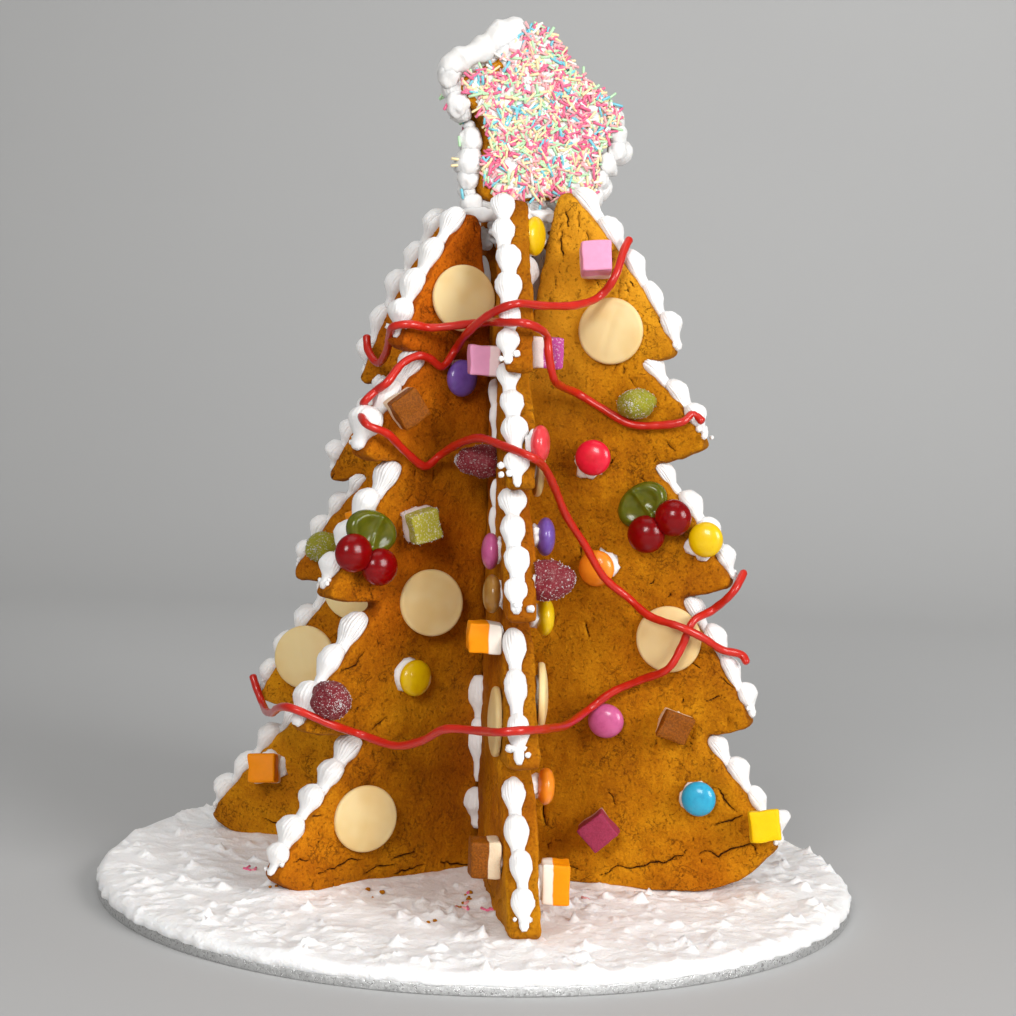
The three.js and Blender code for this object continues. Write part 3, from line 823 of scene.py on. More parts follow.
# Cracks that stand out: the side of the fin, and the places in its plane that each goes through.
CRACKS = {
    "fin_right": (-1, [
        [(26, 277), (27, 274), (27, 269)],
        [(25, 268), (25, 262), (26, 256)],
        [(25, 255), (25, 251)], [(23, 250), (23, 245)], [(21, 242), (21, 238)],
        [(32, 276), (32, 270)], [(35, 269), (36, 264)], [(40, 249), (41, 245)],
        [(52, 248), (54, 244)], [(50, 242), (53, 241)], [(65, 235), (67, 231)],
        [(50, 10), (56, 14), (63, 14), (69, 16), (77, 18), (81, 21), (85, 24)],
        [(36, 13), (42, 11)],
        [(90, 22), (95, 24), (98, 22), (103, 26), (111, 29), (113, 25)],
        [(97, 50), (99, 46), (105, 41)],
        [(52, 44), (55, 39)], [(25, 36), (27, 28)], [(29, 22), (28, 18)],
        [(90, 84), (97, 87)], [(96, 35), (107, 40)],
        [(36, 150), (38, 143), (37, 138)],
        [(25, 116), (27, 110)], [(40, 113), (42, 106)], [(96, 94), (101, 90)],
    ]),
    "fin_left": (1, [
        [(100, 23), (97, 24), (92, 23)],
        [(90, 26), (87, 30)], [(84, 26), (81, 29)],
        [(88, 17), (79, 19), (73, 21), (66, 20)],
        [(66, 14), (60, 16), (51, 16)],
        [(53, 18), (42, 20)], [(51, 12), (37, 14)],
        [(29, 14), (20, 12), (13, 11)],
        [(98, 38), (87, 40)],
        [(80, 94), (76, 96), (72, 97), (71, 100), (69, 102)],
        [(68, 89), (65, 92)], [(62, 104), (59, 105)],
        [(65, 71), (61, 73), (57, 75)],
    ]),
}


def crack_lines(name, seed):
    """The named cracks of a fin and a scatter of small ones, as (side, line, strength)."""
    rng = np.random.default_rng(seed)
    found = []
    known, named = CRACKS.get(name, (0, []))
    for places in named:
        line = [ragged(a, b, rng.integers(1e6), NAMED_SWAY) for a, b in zip(places, places[1:])]
        line = np.concatenate([part[:-1] for part in line] + [line[-1][-1:]])
        length = np.linalg.norm(np.subtract(places[-1], places[0]))
        found.append((known, line, min(1.0, 0.45 + length / 20)))
    outline = fin_outline(FINS[name])
    for side in (-1, 1):
        for start in FOOT_CRACKS if side != known else ():
            low = (start, 11 + rng.uniform(0, 6))
            high = (start + rng.uniform(8, 15), 12 + rng.uniform(0, 8))
            found.append((side, ragged(low, high, rng.integers(1e6), FOOT_SWAY), 0.9))
        for _ in range(SMALL_CRACKS):
            anchor = outline[rng.integers(len(outline))] * (rng.uniform(0.72, 0.97), 1)
            anchor = anchor + rng.normal(0, 3, 2)
            if not inside(outline, anchor) or anchor[1] < 12:
                continue
            lean = rng.normal(0, 0.5)
            reach = rng.uniform(2.0, 5.5)
            end = anchor + reach * np.array((math.sin(lean), -math.cos(lean)))
            found.append((side, ragged(anchor, end, rng.integers(1e6), SMALL_SWAY), rng.uniform(0.35, 0.8)))
    return found


def inside(outline, place):
    """True where a place lies in a flat outline."""
    x, y = place
    a = outline
    b = np.roll(outline, -1, axis=0)
    crosses = (a[:, 1] > y) != (b[:, 1] > y)
    rise = np.where(crosses, b[:, 1] - a[:, 1], 1.0)
    at = a[:, 0] + (y - a[:, 1]) * (b[:, 0] - a[:, 0]) / rise
    return np.count_nonzero(crosses & (x < at)) % 2 == 1


def sector_angles(name):
    """Half the angle to the next fin on each side."""
    names = list(FINS)
    order = names.index(name)
    azimuth = FINS[name].azimuth
    after = FINS[names[(order + 1) % len(names)]].azimuth
    before = FINS[names[order - 1]].azimuth
    left = math.radians((after - azimuth) % 360 / 2)
    right = math.radians((azimuth - before) % 360 / 2)
    return left, right


def to_sector(points, name):
    """Keeps a fin's inner edge in its own wedge of space."""
    left, right = sector_angles(name)
    apex = GAP / math.sin(min(left, right))
    thin = 0.15
    reach = np.maximum(points[:, 0] - apex, thin)
    points[:, 1] = np.clip(points[:, 1], -reach * math.tan(right), reach * math.tan(left))
    return points


def around_crack(points, side, line, within):
    """The points of a crack's own face that may lie near it, and how far off and along it they are."""
    flat = points[:, [0, 2]]
    near = ((flat > line.min(0) - within) & (flat < line.max(0) + within)).all(1)
    chosen = np.flatnonzero(near & (points[:, 1] * side > 1))
    return chosen, *line_distance(flat[chosen], line)


def near_cracks(points, cracks, within):
    """Which points lie near a crack on their own face."""
    close = np.zeros(len(points), bool)
    for side, line, _ in cracks:
        chosen, distance, _ = around_crack(points, side, line, within)
        close[chosen[distance < within]] = True
    return close


def refined(mesh, close):
    """The mesh with smaller squares where the points are close to a crack."""
    work = bmesh.new()
    work.from_mesh(mesh)
    work.verts.ensure_lookup_table()
    chosen = [e for e in work.edges if close[e.verts[0].index] and close[e.verts[1].index]]
    bmesh.ops.subdivide_edges(work, edges=chosen, cuts=2, use_grid_fill=True)
    work.to_mesh(mesh)
    work.free()


# How much darker and redder each biscuit is made at these heights; one below 0 is paler than most. This is
# partly each biscuit's own tone, partly painted shade (the left biscuit above all, high up) and painted light
# (the right biscuit's top).
TONE_AND_LIGHT_HEIGHTS = (0, 150, 235, 285)
TONES_AND_LIGHT = {
    "fin_front": (0.30, 0.35, 0.35, 0.30),
    "fin_right": (0.05, 0.15, -0.35, -0.70),
    "fin_back_right": (0.2, 0.4, 0.3, 0.2),
    "fin_back": (0.1, 0.3, 0.4, 0.5),
    "fin_back_left": (-0.15, 0.20, 0.45, 0.55),
    "fin_left": (0.25, 0.45, 0.85, 0.95),
}
# The front biscuit swells to its right towards the foot, and is worn round at its toe.
SWELL = 1.5
SWELL_TOP = 125.0
SWELL_FADE = 60
TOE_HEIGHT = 14.0
TOE_REACH = 92
TOE_LENGTH = 14
TOE_LEFT = 0.8
TOE_RIGHT = 0.25


def front_shape(points):
    """The swell and the worn toe of the front biscuit."""
    low = np.clip((SWELL_TOP - points[:, 2]) / SWELL_FADE, 0, 1)
    points[:, 1] += SWELL * low * (points[:, 1] > 2)
    up = np.clip((points[:, 2] - FIN_FOOT) / TOE_HEIGHT, 0, 1)
    toe = np.clip((points[:, 0] - TOE_REACH) / TOE_LENGTH, 0, 1)
    taper = np.where(points[:, 1] < 0, TOE_LEFT, TOE_RIGHT)
    points[:, 1] *= 1 - toe * taper * (1 - np.sqrt(1 - (1 - up) ** 2))
    return points


def biscuit(name, material, seed):
    mesh = remeshed(*slab(fin_outline(FINS[name]), -FIN_THICKNESS / 2, FIN_THICKNESS / 2))
    points = smoothed(to_sector(mesh_points(mesh), name), mesh_edges(mesh))
    set_points(mesh, points)
    cracks = crack_lines(name, seed)
    refined(mesh, near_cracks(points, cracks, 1.5))
    points = mesh_points(mesh)
    side = np.sign(points[:, 1])
    face = np.clip((np.abs(points[:, 1]) - FIN_THICKNESS / 2 + 1.6) / 1.4, 0, 1)
    flat = points[:, [0, 2]]
    swell = 0.35 * waves(np.c_[flat, 30 * side], 34, seed) + 0.16 * waves(points, 6.5, seed + 1)
    # The grooves of the cracks, and the painted shade that darkens them.
    groove, dark = grooves(points, cracks)
    points[:, 1] += face * side * (np.clip(swell, -0.9, 0.6) - groove)
    rough = waves(points, 7, seed + 2, 30) * 0.22 * (1 - face)
    points[:, 0] += rough
    points[:, 2] += rough
    # Darker and redder above 0, paler below 0, by height: partly the biscuit's tone, partly painted shade and
    # painted light.
    bake = np.interp(points[:, 2], TONE_AND_LIGHT_HEIGHTS, TONES_AND_LIGHT[name]) + 0.12 * waves(points, 60, seed + 4)
    if name == "fin_front":
        points = front_shape(points)
    set_points(mesh, points)
    for label, values in (("crack", dark), ("rim", 1 - face), ("bake", bake)):
        mark(mesh, label, values)
    mesh = thinned(mesh, BISCUIT_KEEP)
    mesh.materials.clear()
    mesh.materials.append(material)
    mesh.transform(metres(fin_matrix(name)))
    mesh.polygons.foreach_set("use_smooth", [True] * len(mesh.polygons))
    settle(mesh, name.replace("fin", "biscuit"), [name])


def metres(matrix):
    """The same placing for points in metres."""
    made = matrix.copy()
    made.translation = matrix.translation * MM
    return made


def grooves(points, cracks):
    """How deep each point sinks into a crack, and how dark the painted shade in the crack makes it."""
    groove = np.zeros(len(points))
    dark = np.zeros(len(points))
    for side, line, strength in cracks:
        chosen, distance, along = around_crack(points, side, line, CRACK_REACH)
        width = CRACK_WIDTH * strength * (0.35 + 0.65 * np.sin(math.pi * np.clip(along, 0.04, 0.96)))
        deep = np.exp(-((distance / width) ** 2))
        lip = CRACK_LIP * strength * np.exp(-((distance - 2 * CRACK_WIDTH) ** 2))
        groove[chosen] = np.maximum(groove[chosen], CRACK_DEPTH * strength * deep) - lip * (deep < 0.1)
        dark[chosen] = np.maximum(dark[chosen], deep * min(1.0, strength + 0.15))
    return groove, dark


# ---------------------------------------------------------------- piped icing
class Path:
    """A curve with an outward direction, that can be followed past its end."""

    def __init__(self, points, outs):
        self.points = points
        self.outs = outs
        steps = np.linalg.norm(np.diff(points, axis=0), axis=1)
        self.far = np.concatenate([[0], np.cumsum(steps)])
        self.length = self.far[-1]

    def at(self, distance):
        """Point, direction along and direction out, for an array of distances."""
        inner = np.clip(distance, 0, self.length)
        point = self.look_up(self.points, inner)
        out = self.look_up(self.outs, inner)
        along = unit(self.look_up(self.points, inner + 0.5) - self.look_up(self.points, inner - 0.5))
        out = unit(out - along * (out * along).sum(-1, keepdims=True))
        return point + along * (distance - inner)[..., None], along, out

    def look_up(self, values, distance):
        """The values between the curve's points; past its ends they stay as they are there."""
        return np.stack([np.interp(distance, self.far, values[:, k]) for k in range(3)], -1)


def unit(vectors):
    return vectors / np.linalg.norm(vectors, axis=-1, keepdims=True)


def shell_angles():
    """Angles round a shell, close together over the ridged part that shows."""
    shown = np.linspace(-SHELL_WRAP, math.pi + SHELL_WRAP, 4 * SHELL_RIDGES + 1)
    hidden = np.linspace(math.pi + SHELL_WRAP, 2 * math.pi - SHELL_WRAP, 9)[1:-1]
    return np.concatenate([shown, hidden])


def piped_shell(heap, path, start, length, size, ridge, rng, tail=0.40):
    """One shell: a round ridged head at the start that runs out into a thin tail."""
    t = 1 - np.cos(np.linspace(0.03, 0.5, SHELL_RINGS) * math.pi)
    t = t / t[-1]
    swell = np.where(t < SHELL_HEAD, np.clip(1 - np.clip(1 - t / SHELL_HEAD, 0, 1) ** 2.3, 0, 1) ** 0.52, 1.0)
    fade = np.clip((t - SHELL_HEAD) / (SHELL_TAIL_START - SHELL_HEAD), 0, 1)
    radius = swell * (1 - (1 - tail) * fade * fade * (3 - 2 * fade))
    radius[-1] *= 0.5
    point, along, out = path.at(start + t * length)
    across = np.cross(out, along)
    angle = shell_angles()
    lobes = SHELL_RIDGES * math.pi / (math.pi + 2 * SHELL_WRAP)
    comb = np.abs(np.cos(lobes * (angle + SHELL_WRAP))) - 0.64
    comb[4 * SHELL_RIDGES + 1:] = 0
    twist = rng.normal(0, 0.12)
    rings = np.zeros((SHELL_RINGS, len(angle), 3))
    wide = SHELL_HALF_WIDTH * size * rng.uniform(0.92, 1.1)
    high = SHELL_HEIGHT * size * rng.uniform(0.9, 1.1)
    shift = rng.normal(0, 0.5)
    for ring in range(SHELL_RINGS):
        edge = radius[ring] * (1 + ridge * comb * min(1.0, 1.3 * radius[ring]))
        turn = angle + twist * t[ring] * 3
        lift = (0.36 - 0.2 * fade[ring]) * high
        side = np.cos(turn) * edge * wide + shift
        up = np.sin(turn) * edge * high * 0.64 + lift * (0.55 + 0.45 * radius[ring])
        rings[ring] = point[ring] + side[:, None] * across[ring] + up[:, None] * out[ring]
    points, faces = skin(rings[:, ::-1])
    heap.add(uneven(points, 0.12, 4.0, rng, point.mean(0)), faces)


TORN_BITS = 5
# How far apart the shells of each row are, from the top down.
PITCHES = {"fin_front": (12.6, 14.4, 14.0, 17.0, 16.5), "fin_left": (15.0, 13.5, 13.0, 14.5, 13.0)}
COMMON_PITCHES = (15.5, 12.5, 12.5, 13.5, 14.0)
# How far below its upper end each row starts.
ROW_STARTS = {"fin_front": (0, 4, 8, 11, 10), "fin_left": (0, 3, 4, 9, 5)}
COMMON_STARTS = (0, 3, 3, 3, 3)
# How thickly some fins are piped, and rows whose last shell is a big one, as (fin, tier).
ROW_SIZES = {"fin_front": 0.87, "fin_left": 1.13, "fin_back_left": 1.22}
LAST_SIZES = {("fin_left", 1): 1.38, ("fin_back_left", 1): 1.2, ("fin_right", 4): 1.45}
# How far each row lies to the side of its fin's middle, at its upper and its lower end.
ROW_SHIFTS = {"fin_front": [(-4.2, -3.8), (-3.4, -2.6), (-2.4, -2.0), (-1.6, -1.2), (-1.4, 0.9)]}


def row_path(fin, tier, shifts):
    curve = bezier(*tier_edge(fin, tier), 60)
    curve = np.concatenate([curve, [tier_edge(fin, tier)[2]]])
    along = unit(np.gradient(curve, axis=0))
    out = np.c_[-along[:, 1], np.zeros(len(curve)), along[:, 0]]
    return Path(np.c_[curve[:, 0], np.linspace(*shifts, len(curve)), curve[:, 1]], out)


def torn_bits(heap, path, rng):
    """Small lumps where the icing was torn off at the end of a row."""
    for _ in range(TORN_BITS):
        point, along, out = path.at(np.array([path.length + rng.uniform(-6, 0.5)]))
        across = np.cross(out, along)[0]
        place = point[0] + across * rng.normal(0, 2.4) + out[0] * rng.uniform(0.4, 1.8)
        size = rng.uniform(0.8, 1.6)
        blob(heap, place, (size, size, size), rng, 6)


def piping(name, material, seed):
    """The rows of shells on a fin's upper edges."""
    rng = np.random.default_rng(seed)
    heap = Heap()
    fin = FINS[name]
    for tier, pitch in enumerate(PITCHES.get(name, COMMON_PITCHES)):
        path = row_path(fin, tier, ROW_SHIFTS.get(name, [(0, 0)] * 5)[tier])
        first = ROW_STARTS.get(name, COMMON_STARTS)[tier]
        shells = max(3, round((path.length - first) / pitch))
        pitch = (path.length - first + 0.5) / shells
        for shell in range(shells):
            start = first + shell * pitch + rng.normal(0, 0.6)
            last = shell == shells - 1
            length = pitch * (1.08 if last else 1.24) * rng.uniform(0.95, 1.05)
            size = rng.uniform(0.90, 1.12) * ROW_SIZES.get(name, 1.0)
            if last:
                size *= LAST_SIZES.get((name, tier), 1.0)
            ridge = 0.12 if shell == 0 else rng.uniform(0.03, 0.07)
            tail = rng.uniform(0.28, 0.50) if last else rng.uniform(0.45, 0.60)
            piped_shell(heap, path, start, length, size, ridge, rng, tail)
        torn_bits(heap, path, rng)
    heap.build(name.replace("fin", "piping"), material, "icing", [name], fin_matrix(name), keep=0.8)


# Where shells are piped into the corner after each fin, as (top, bottom).
SEAMS = {
    "fin_front": [(258, 245), (74, 62)],
    "fin_right": [(262, 236), (150, 122)],
    "fin_back_right": [(232, 206), (96, 70)],
    "fin_back": [(258, 232), (176, 150)],
    "fin_back_left": [(216, 190), (118, 92)],
    "fin_left": [(89, 72), (72, 50), (43, 31)],
}
# Where they are piped on the front fin's left face instead, as (reach, top, bottom).
FACE_SEAM = [(30, 209, 199), (33, 200, 188), (46, 171, 160), (46, 161, 148)]


def seam_icing(material):
    """Shells piped here and there into the corners between the fins."""
    rng = np.random.default_rng(77)
    heap = Heap()
    for name, rows in SEAMS.items():
        left, _ = sector_angles(name)
        azimuth = math.radians(FINS[name].azimuth) + left
        corner = (FIN_THICKNESS / 2) / math.sin(left) + 1.0
        out = np.array((math.cos(azimuth), math.sin(azimuth), 0))
        for top, bottom in rows:
            path = upright(out * corner, top, bottom, out)
            piped_shell(heap, path, 0, path.length + 5, rng.uniform(0.85, 1.1), 0.1, rng)
    heap.build("seam_icing", material, "icing", place=tree_matrix(), keep=0.5)
    heap = Heap()
    for reach, top, bottom in FACE_SEAM:
        path = upright((reach, -FIN_THICKNESS / 2 + 0.6, 0), top, bottom, (0, -1, 0))
        piped_shell(heap, path, 0, path.length + 4, 0.52, 0.1, rng, 0.7)
    heap.build("face_icing", material, "icing", place=fin_matrix("fin_front"))


def upright(foot, top, bottom, out):
    """A path straight down from one height to another, above or below its foot."""
    line = np.linspace((0, 0, top), (0, 0, bottom), 12) + foot
    return Path(line, np.tile(np.array(out, float), (12, 1)))


CROWN_MIDDLE = (4, 4)
CROWN_LUMPS = 12


def crown_icing(material):
    """Icing heaped in the middle of the tree's top, that the star stands in."""
    rng = np.random.default_rng(19)
    heap = Heap()
    blob(heap, (*CROWN_MIDDLE, 267), (11, 11, 7), rng, 22)
    for lump in range(CROWN_LUMPS):
        turn = 2 * math.pi * lump / CROWN_LUMPS + rng.normal(0, 0.2)
        reach = rng.uniform(9, 13)
        size = rng.uniform(3.2, 4.6)
        x = CROWN_MIDDLE[0] + reach * math.cos(turn)
        y = CROWN_MIDDLE[1] + reach * math.sin(turn)
        place = (x, y, rng.uniform(264, 272))
        blob(heap, place, (size, size, size * rng.uniform(0.8, 1.2)), rng)
    heap.build("crown_icing", material, "icing", place=tree_matrix())


# ---------------------------------------------------------------- star
def star_reach(outline):
    """The outline's reach at even angles."""
    curve = catmull([polar(r, a) for a, r in outline], 24, closed=True)
    angle = np.unwrap(np.arctan2(curve[:, 1], curve[:, 0]))
    if angle[-1] < angle[0]:
        curve, angle = curve[::-1], angle[::-1]
    reach = np.linalg.norm(curve, axis=1)
    even = circle(STAR_SIDES)
    return even, np.interp(even, angle, reach, period=2 * math.pi)


def star_rings(profile, reach, angle):
    """Rings of a star-shaped slab. The profile is (inset, place along Y) from one side to the other."""
    rings = []
    for inset, y in profile:
        size = np.maximum(reach - inset, 0.02 * reach)
        rings.append(np.c_[size * np.cos(angle), np.full(len(angle), y), size * np.sin(angle)])
    return np.array(rings)


def slab_profile(near, far, rounding, cells):
    """Insets and places for a slab with round edges."""
    quarter = [math.radians(90 * step / 6) for step in range(7)]
    made = [(inset, near) for inset in np.linspace(STAR_INSET, rounding, cells, endpoint=False)]
    made += [(rounding * (1 - math.sin(a)), near + rounding * (1 - math.cos(a))) for a in quarter]
    made += [(rounding * (1 - math.cos(a)), far - rounding * (1 - math.sin(a))) for a in quarter]
    return made + [(inset, far) for inset in np.linspace(rounding, STAR_INSET, cells + 1)[1:]]


def star_biscuit(node, way, material, seed):
    """One of the two star biscuits, on the near side at way -1 and on the far side at 1."""
    near, far = sorted((way * STAR_NEAR, way * (STAR_NEAR + STAR_THICKNESS)))
    angle, reach = star_reach(STAR_OUTLINE)
    points, faces = skin(star_rings(slab_profile(near, far, STAR_ROUNDING, 10), reach, angle))
    middle = (near + far) / 2
    bump = 0.3 * waves(points, 16, seed) + 0.15 * waves(points, 5, seed + 1)
    points[:, 1] += bump * np.sign(points[:, 1] - middle) * 0.8
    heap = Heap()
    rim = np.clip(1 - (np.abs(points[:, 1] - middle) - 2.2) / 1.8, 0, 1)
    heap.add(points, faces, crack=0.0, rim=rim)
    name = node.replace("star", "star_biscuit")
    heap.build(name, material, "gingerbread", [node], star_matrix(), keep=0.6)


def star_bare(flat):
    """1 where the star's face is left bare of icing, at its left side, and 0 elsewhere."""
    spots = [
        (-19, 21, 3.2, 2.4), (-29.5, 5, 2.6, 4), (-25.5, -3, 2.6, 6), (-22.5, -10, 1.8, 4),
        (-21.5, -31, 3.8, 4.6), (-8, -32.5, 9, 1.5),
    ]
    bare = np.zeros(len(flat))
    for x, z, wide, tall in spots:
        away = ((flat[:, 0] - x) / wide) ** 2 + ((flat[:, 1] - z) / tall) ** 2
        bare = np.maximum(bare, np.clip(1.4 - away, 0, 1))
    return bare


def star_glaze(material):
    """The icing that holds the sprinkles, on both outer faces."""
    angle, reach = star_reach(STAR_OUTLINE)
    heap = Heap()
    for way in (-1, 1):
        face = STAR_NEAR + STAR_THICKNESS
        profile = [(inset, face) for inset in np.linspace(STAR_INSET, 1.6, 24)]
        profile += [(1.3, face - 0.6), (1.4, face - 1.6), (14, face - 1.9), (30, face - 1.9)]
        points, faces = skin(star_rings(profile, reach, angle)[::way])
        outer = points[:, 1] > face - 0.1
        bare = star_bare(points[:, [0, 2]]) * (way < 0)
        thick = GLAZE + 0.3 * waves(points, 6, 5) + 0.15 * waves(points, 2.5, 6)
        lift = np.where(bare > 0.3, -1.2, np.clip(thick, 0.3, 1.7))
        points[:, 1] += np.where(outer, lift, 0)
        heap.add(points * (1, way, 1), faces)
    heap.build("star_glaze", material, "icing", place=star_matrix())


def strand(length, radius):
    """A sprinkle along X, with blunt ends."""
    turn = circle(6)
    ring = np.c_[np.zeros(6), radius * np.cos(turn), radius * np.sin(turn)]
    half = length / 2
    points, faces = skin(np.array([ring - (half - 0.25, 0, 0), ring + (half - 0.25, 0, 0)]))
    points[-2:, 0] = (-half, half)
    return points, faces


def turned_to(direction, normal):
    """Axes with X along direction, and Z as near to normal as it can be."""
    x = unit(np.array(direction, float))
    z = np.array(normal, float) - x * np.dot(normal, x)
    z = unit(z)
    return np.stack([x, np.cross(z, x), z], -1)


# How many strands lie on the star's front, at -1, and on its back.
SPRINKLES = {-1: 1550, 1: 1000}
STRAND_LENGTHS = (2.8, 6.0)
STRAND_RADII = (0.46, 0.62)
STRAND_TILT = 0.16
STRAY_SIZE = (4.4, 0.6)
# Strands that stick out round the star's edge, as (x, y, z, slope in degrees, tint).
STRAYS = [
    (18.5, -10.5, 21.5, 88, 0.68), (-32.2, -6, -9.4, 95, 0.68), (-33.6, -6.5, -19, 8, 0.5),
    (-30.2, -6, -30, 100, 0.8), (-38.2, -6, 4.2, 60, 0.1), (-33.4, -6.5, -16.5, 175, 0.5),
    (-20, -12, -37, 20, 0.3), (-4, -12.5, -36, 160, 0.1), (4, -12, -36.5, 35, 0.68),
    (-11, -12.5, -36.5, 12, 0.5), (9, -10, -39, 30, 0.68), (1, -12, -35, 80, 0.8),
]


def sprinkle(place, direction, way, length, radius):
    """The points and faces of one strand that lies on a face of the star."""
    points, faces = strand(length, radius)
    return points @ turned_to(direction, (0, way, 0)).T + place, faces


def sprinkles(material):
    """Sugar strands all over the star's outer faces, with a few strays on the icing round it."""
    rng = np.random.default_rng(41)
    angle, reach = star_reach(STAR_OUTLINE)
    heap = Heap()
    for way, count in SPRINKLES.items():
        face = way * (STAR_NEAR + STAR_THICKNESS + GLAZE)
        for _ in range(count):
            turn = rng.uniform(0, 2 * math.pi)
            limit = np.interp(turn, angle, reach, period=2 * math.pi) + 0.6
            radius = limit * math.sqrt(rng.uniform(0, 1))
            out = face + way * rng.uniform(-0.3, 1.0)
            place = np.array((radius * math.cos(turn), out, radius * math.sin(turn)))
            if star_bare(place[None, [0, 2]])[0] * (way < 0) > rng.uniform(0.05, 0.9):
                continue
            spin = rng.uniform(0, math.pi)
            direction = (math.cos(spin), way * rng.normal(0, STRAND_TILT), math.sin(spin))
            size = (rng.uniform(*STRAND_LENGTHS), rng.uniform(*STRAND_RADII))
            heap.add(*sprinkle(place, direction, way, *size), tint=rng.uniform(0.01, 0.99))
    for x, y, z, lean, tint in STRAYS:
        across, up = polar(1, lean)
        heap.add(*sprinkle((x, y, z), (across, 0.1, up), -1, *STRAY_SIZE), tint=tint)
    heap.build("sprinkles", material, "icing", place=star_matrix())


# The thick smear along the star's upper left edge, and the thin one under it, in the star's own frame,
# with its half width at each place.
STAR_SMEAR = [
    (-38.6, -6, 13.5, 4.8), (-37.6, -6.5, 19.5, 5.0), (-33, -7, 22.6, 4.8), (-27.5, -7, 25.4, 4.6),
    (-22, -7, 28.6, 5.4), (-16.5, -7, 32.0, 6.8), (-11, -7, 35.5, 6.2), (-5, -6, 39.0, 4.6),
]
STAR_FOOT = [
    (-30, -6, -37, 3.0), (-23, -10, -38, 3.0), (-15, -12, -37, 2.4), (-8, -12.5, -36.5, 2.3),
    (0, -12.5, -37, 2.5), (8, -12, -37.5, 2.4), (13, -10, -37.5, 2.4),
]
# Lumps at the star's sides that reach forward over its edge, as (x, y, z, size).
STAR_LUMPS = [
    (-33.5, -6, 5.3, 5.0), (-27, -4.5, -8.7, 5.0), (-27.5, -5.5, -17.5, 5.6), (-27.5, -5, -23.5, 4.6),
    (-25.5, -4, -34.0, 4.8), (-30.5, -3, -42.0, 3.6), (-12, -8.5, 29.5, 4.2), (-17, -8.2, 28.0, 4.0),
    (-37.5, -6, 16.5, 5.0), (36.2, -7.5, -2.0, 4.2), (36.0, -7.5, -9.0, 4.2), (31.5, -7.5, -14.5, 4.2),
    (28.6, -7.5, -21.0, 4.0), (27.0, -7.5, -28.0, 3.8),
]


# The joint of the two star biscuits, where icing is piped, as (angle in degrees, reach).
STAR_RING = [
    (96, 32.5), (70, 23), (49, 18), (25, 23), (8, 33), (-3, 39.0), (-12, 39.5), (-22, 35.5),
    (-33, 34.5), (-42, 38.5), (-60, 33), (-85, 31), (-108, 33), (-127, 38.5), (-143, 32.5),
    (-162, 26), (176, 28), (165, 33), (152, 34), (127, 29),
]
STAR_RING_LUMPS = 22
# Half thickness of the two smears.
SMEAR_DEPTH = 5.0
FOOT_DEPTH = 2.8
STAR_RING_FORWARD = -2.6


def star_ring(material):
    """Lumps piped round the joint of the two star biscuits, and the smears at the front."""
    rng = np.random.default_rng(12)
    places = [polar(r, a) for a, r in STAR_RING]
    curve = catmull([(x, STAR_RING_FORWARD, z) for x, z in places], 8, closed=True)
    curve = np.concatenate([curve, curve[:1]])
    path = Path(curve, unit(curve * (1, 0, 1)))
    heap = Heap()
    for lump in range(STAR_RING_LUMPS):
        start = lump * path.length / STAR_RING_LUMPS + rng.normal(0, 0.8)
        piped_shell(heap, path, start - 2, 12, rng.uniform(0.95, 1.2), 0.05, rng, 0.6)
    for x, y, z, size in STAR_LUMPS:
        blob(heap, (x, y, z), (size, size * 0.9, size * 1.12), rng, 20, 0.5)
    smear(heap, STAR_SMEAR, SMEAR_DEPTH, rng)
    smear(heap, STAR_FOOT, FOOT_DEPTH, rng)
    heap.build("star_ring", material, "icing", ["star_icing"], star_matrix(), keep=0.65)


SMEAR_SIDES = 28


def smear(heap, points, depth, rng):
    """A thick uneven rope of icing, each point with its half width. The depth is its half thickness."""
    curve = catmull(points, 9)
    curve, width = curve[:, :3], curve[:, 3]
    along = unit(np.gradient(curve, axis=0))
    through = np.array((0, 1.0, 0))
    turn = circle(SMEAR_SIDES)
    share = np.linspace(0, 1, len(curve))
    fat = np.sqrt(np.clip(1 - (2 * share - 1) ** 6, 0.04, 1))
    fat *= 1 + 0.09 * np.sin(share * 27 + rng.uniform(0, 6)) + 0.04 * np.sin(share * 51)
    rings = []
    for place, way, thick, wide in zip(curve, along, fat, width):
        side = unit(np.cross(through, way))
        ring = np.cos(turn)[:, None] * side * wide + np.sin(turn)[:, None] * through * depth
        rings.append(place + ring * thick)
    points, faces = skin(np.array(rings))
    points = points + 0.35 * waves(points, 6, rng.integers(1e6))[:, None] * (1, 0.6, 1)
    heap.add(points, faces)


def blob(heap, place, size, rng, detail=16, rough=1.0):
    """An uneven lump of icing."""
    up = np.linspace(0.02, math.pi - 0.02, detail)
    turn = circle(2 * detail)
    points, faces = skin(np.array([level_ring(math.sin(a), turn, -math.cos(a)) for a in up]))
    wobble = 0.10 * waves(points * 5, 5.0, rng.integers(1e6))
    wobble = wobble + 0.04 * waves(points * 5, 2.0, rng.integers(1e6))
    heap.add(points * (1 + rough * wobble)[:, None] * size + place, faces)


# ---------------------------------------------------------------- sweets
LENTIL_RADIUS = 7.2
CUBE_HALF = 6.0
CUBE_ROUNDING = 0.8


def turned(profile, sides=44):
    """A round shape about Z, from its base up. The profile is (radius, height)."""
    turn = circle(sides)
    return skin(np.array([level_ring(r, turn, z) for r, z in profile]))


def lentil(rng):
    t = np.linspace(-math.pi / 2 + 0.06, math.pi / 2 - 0.06, 18)
    radius = LENTIL_RADIUS * np.cos(t) ** 0.86
    height = 3.5 + 3.45 * np.sin(t)
    points, faces = turned(np.c_[radius, height])
    points *= (rng.uniform(0.96, 1.03), rng.uniform(0.96, 1.03), rng.uniform(0.92, 1.06))
    return points, faces


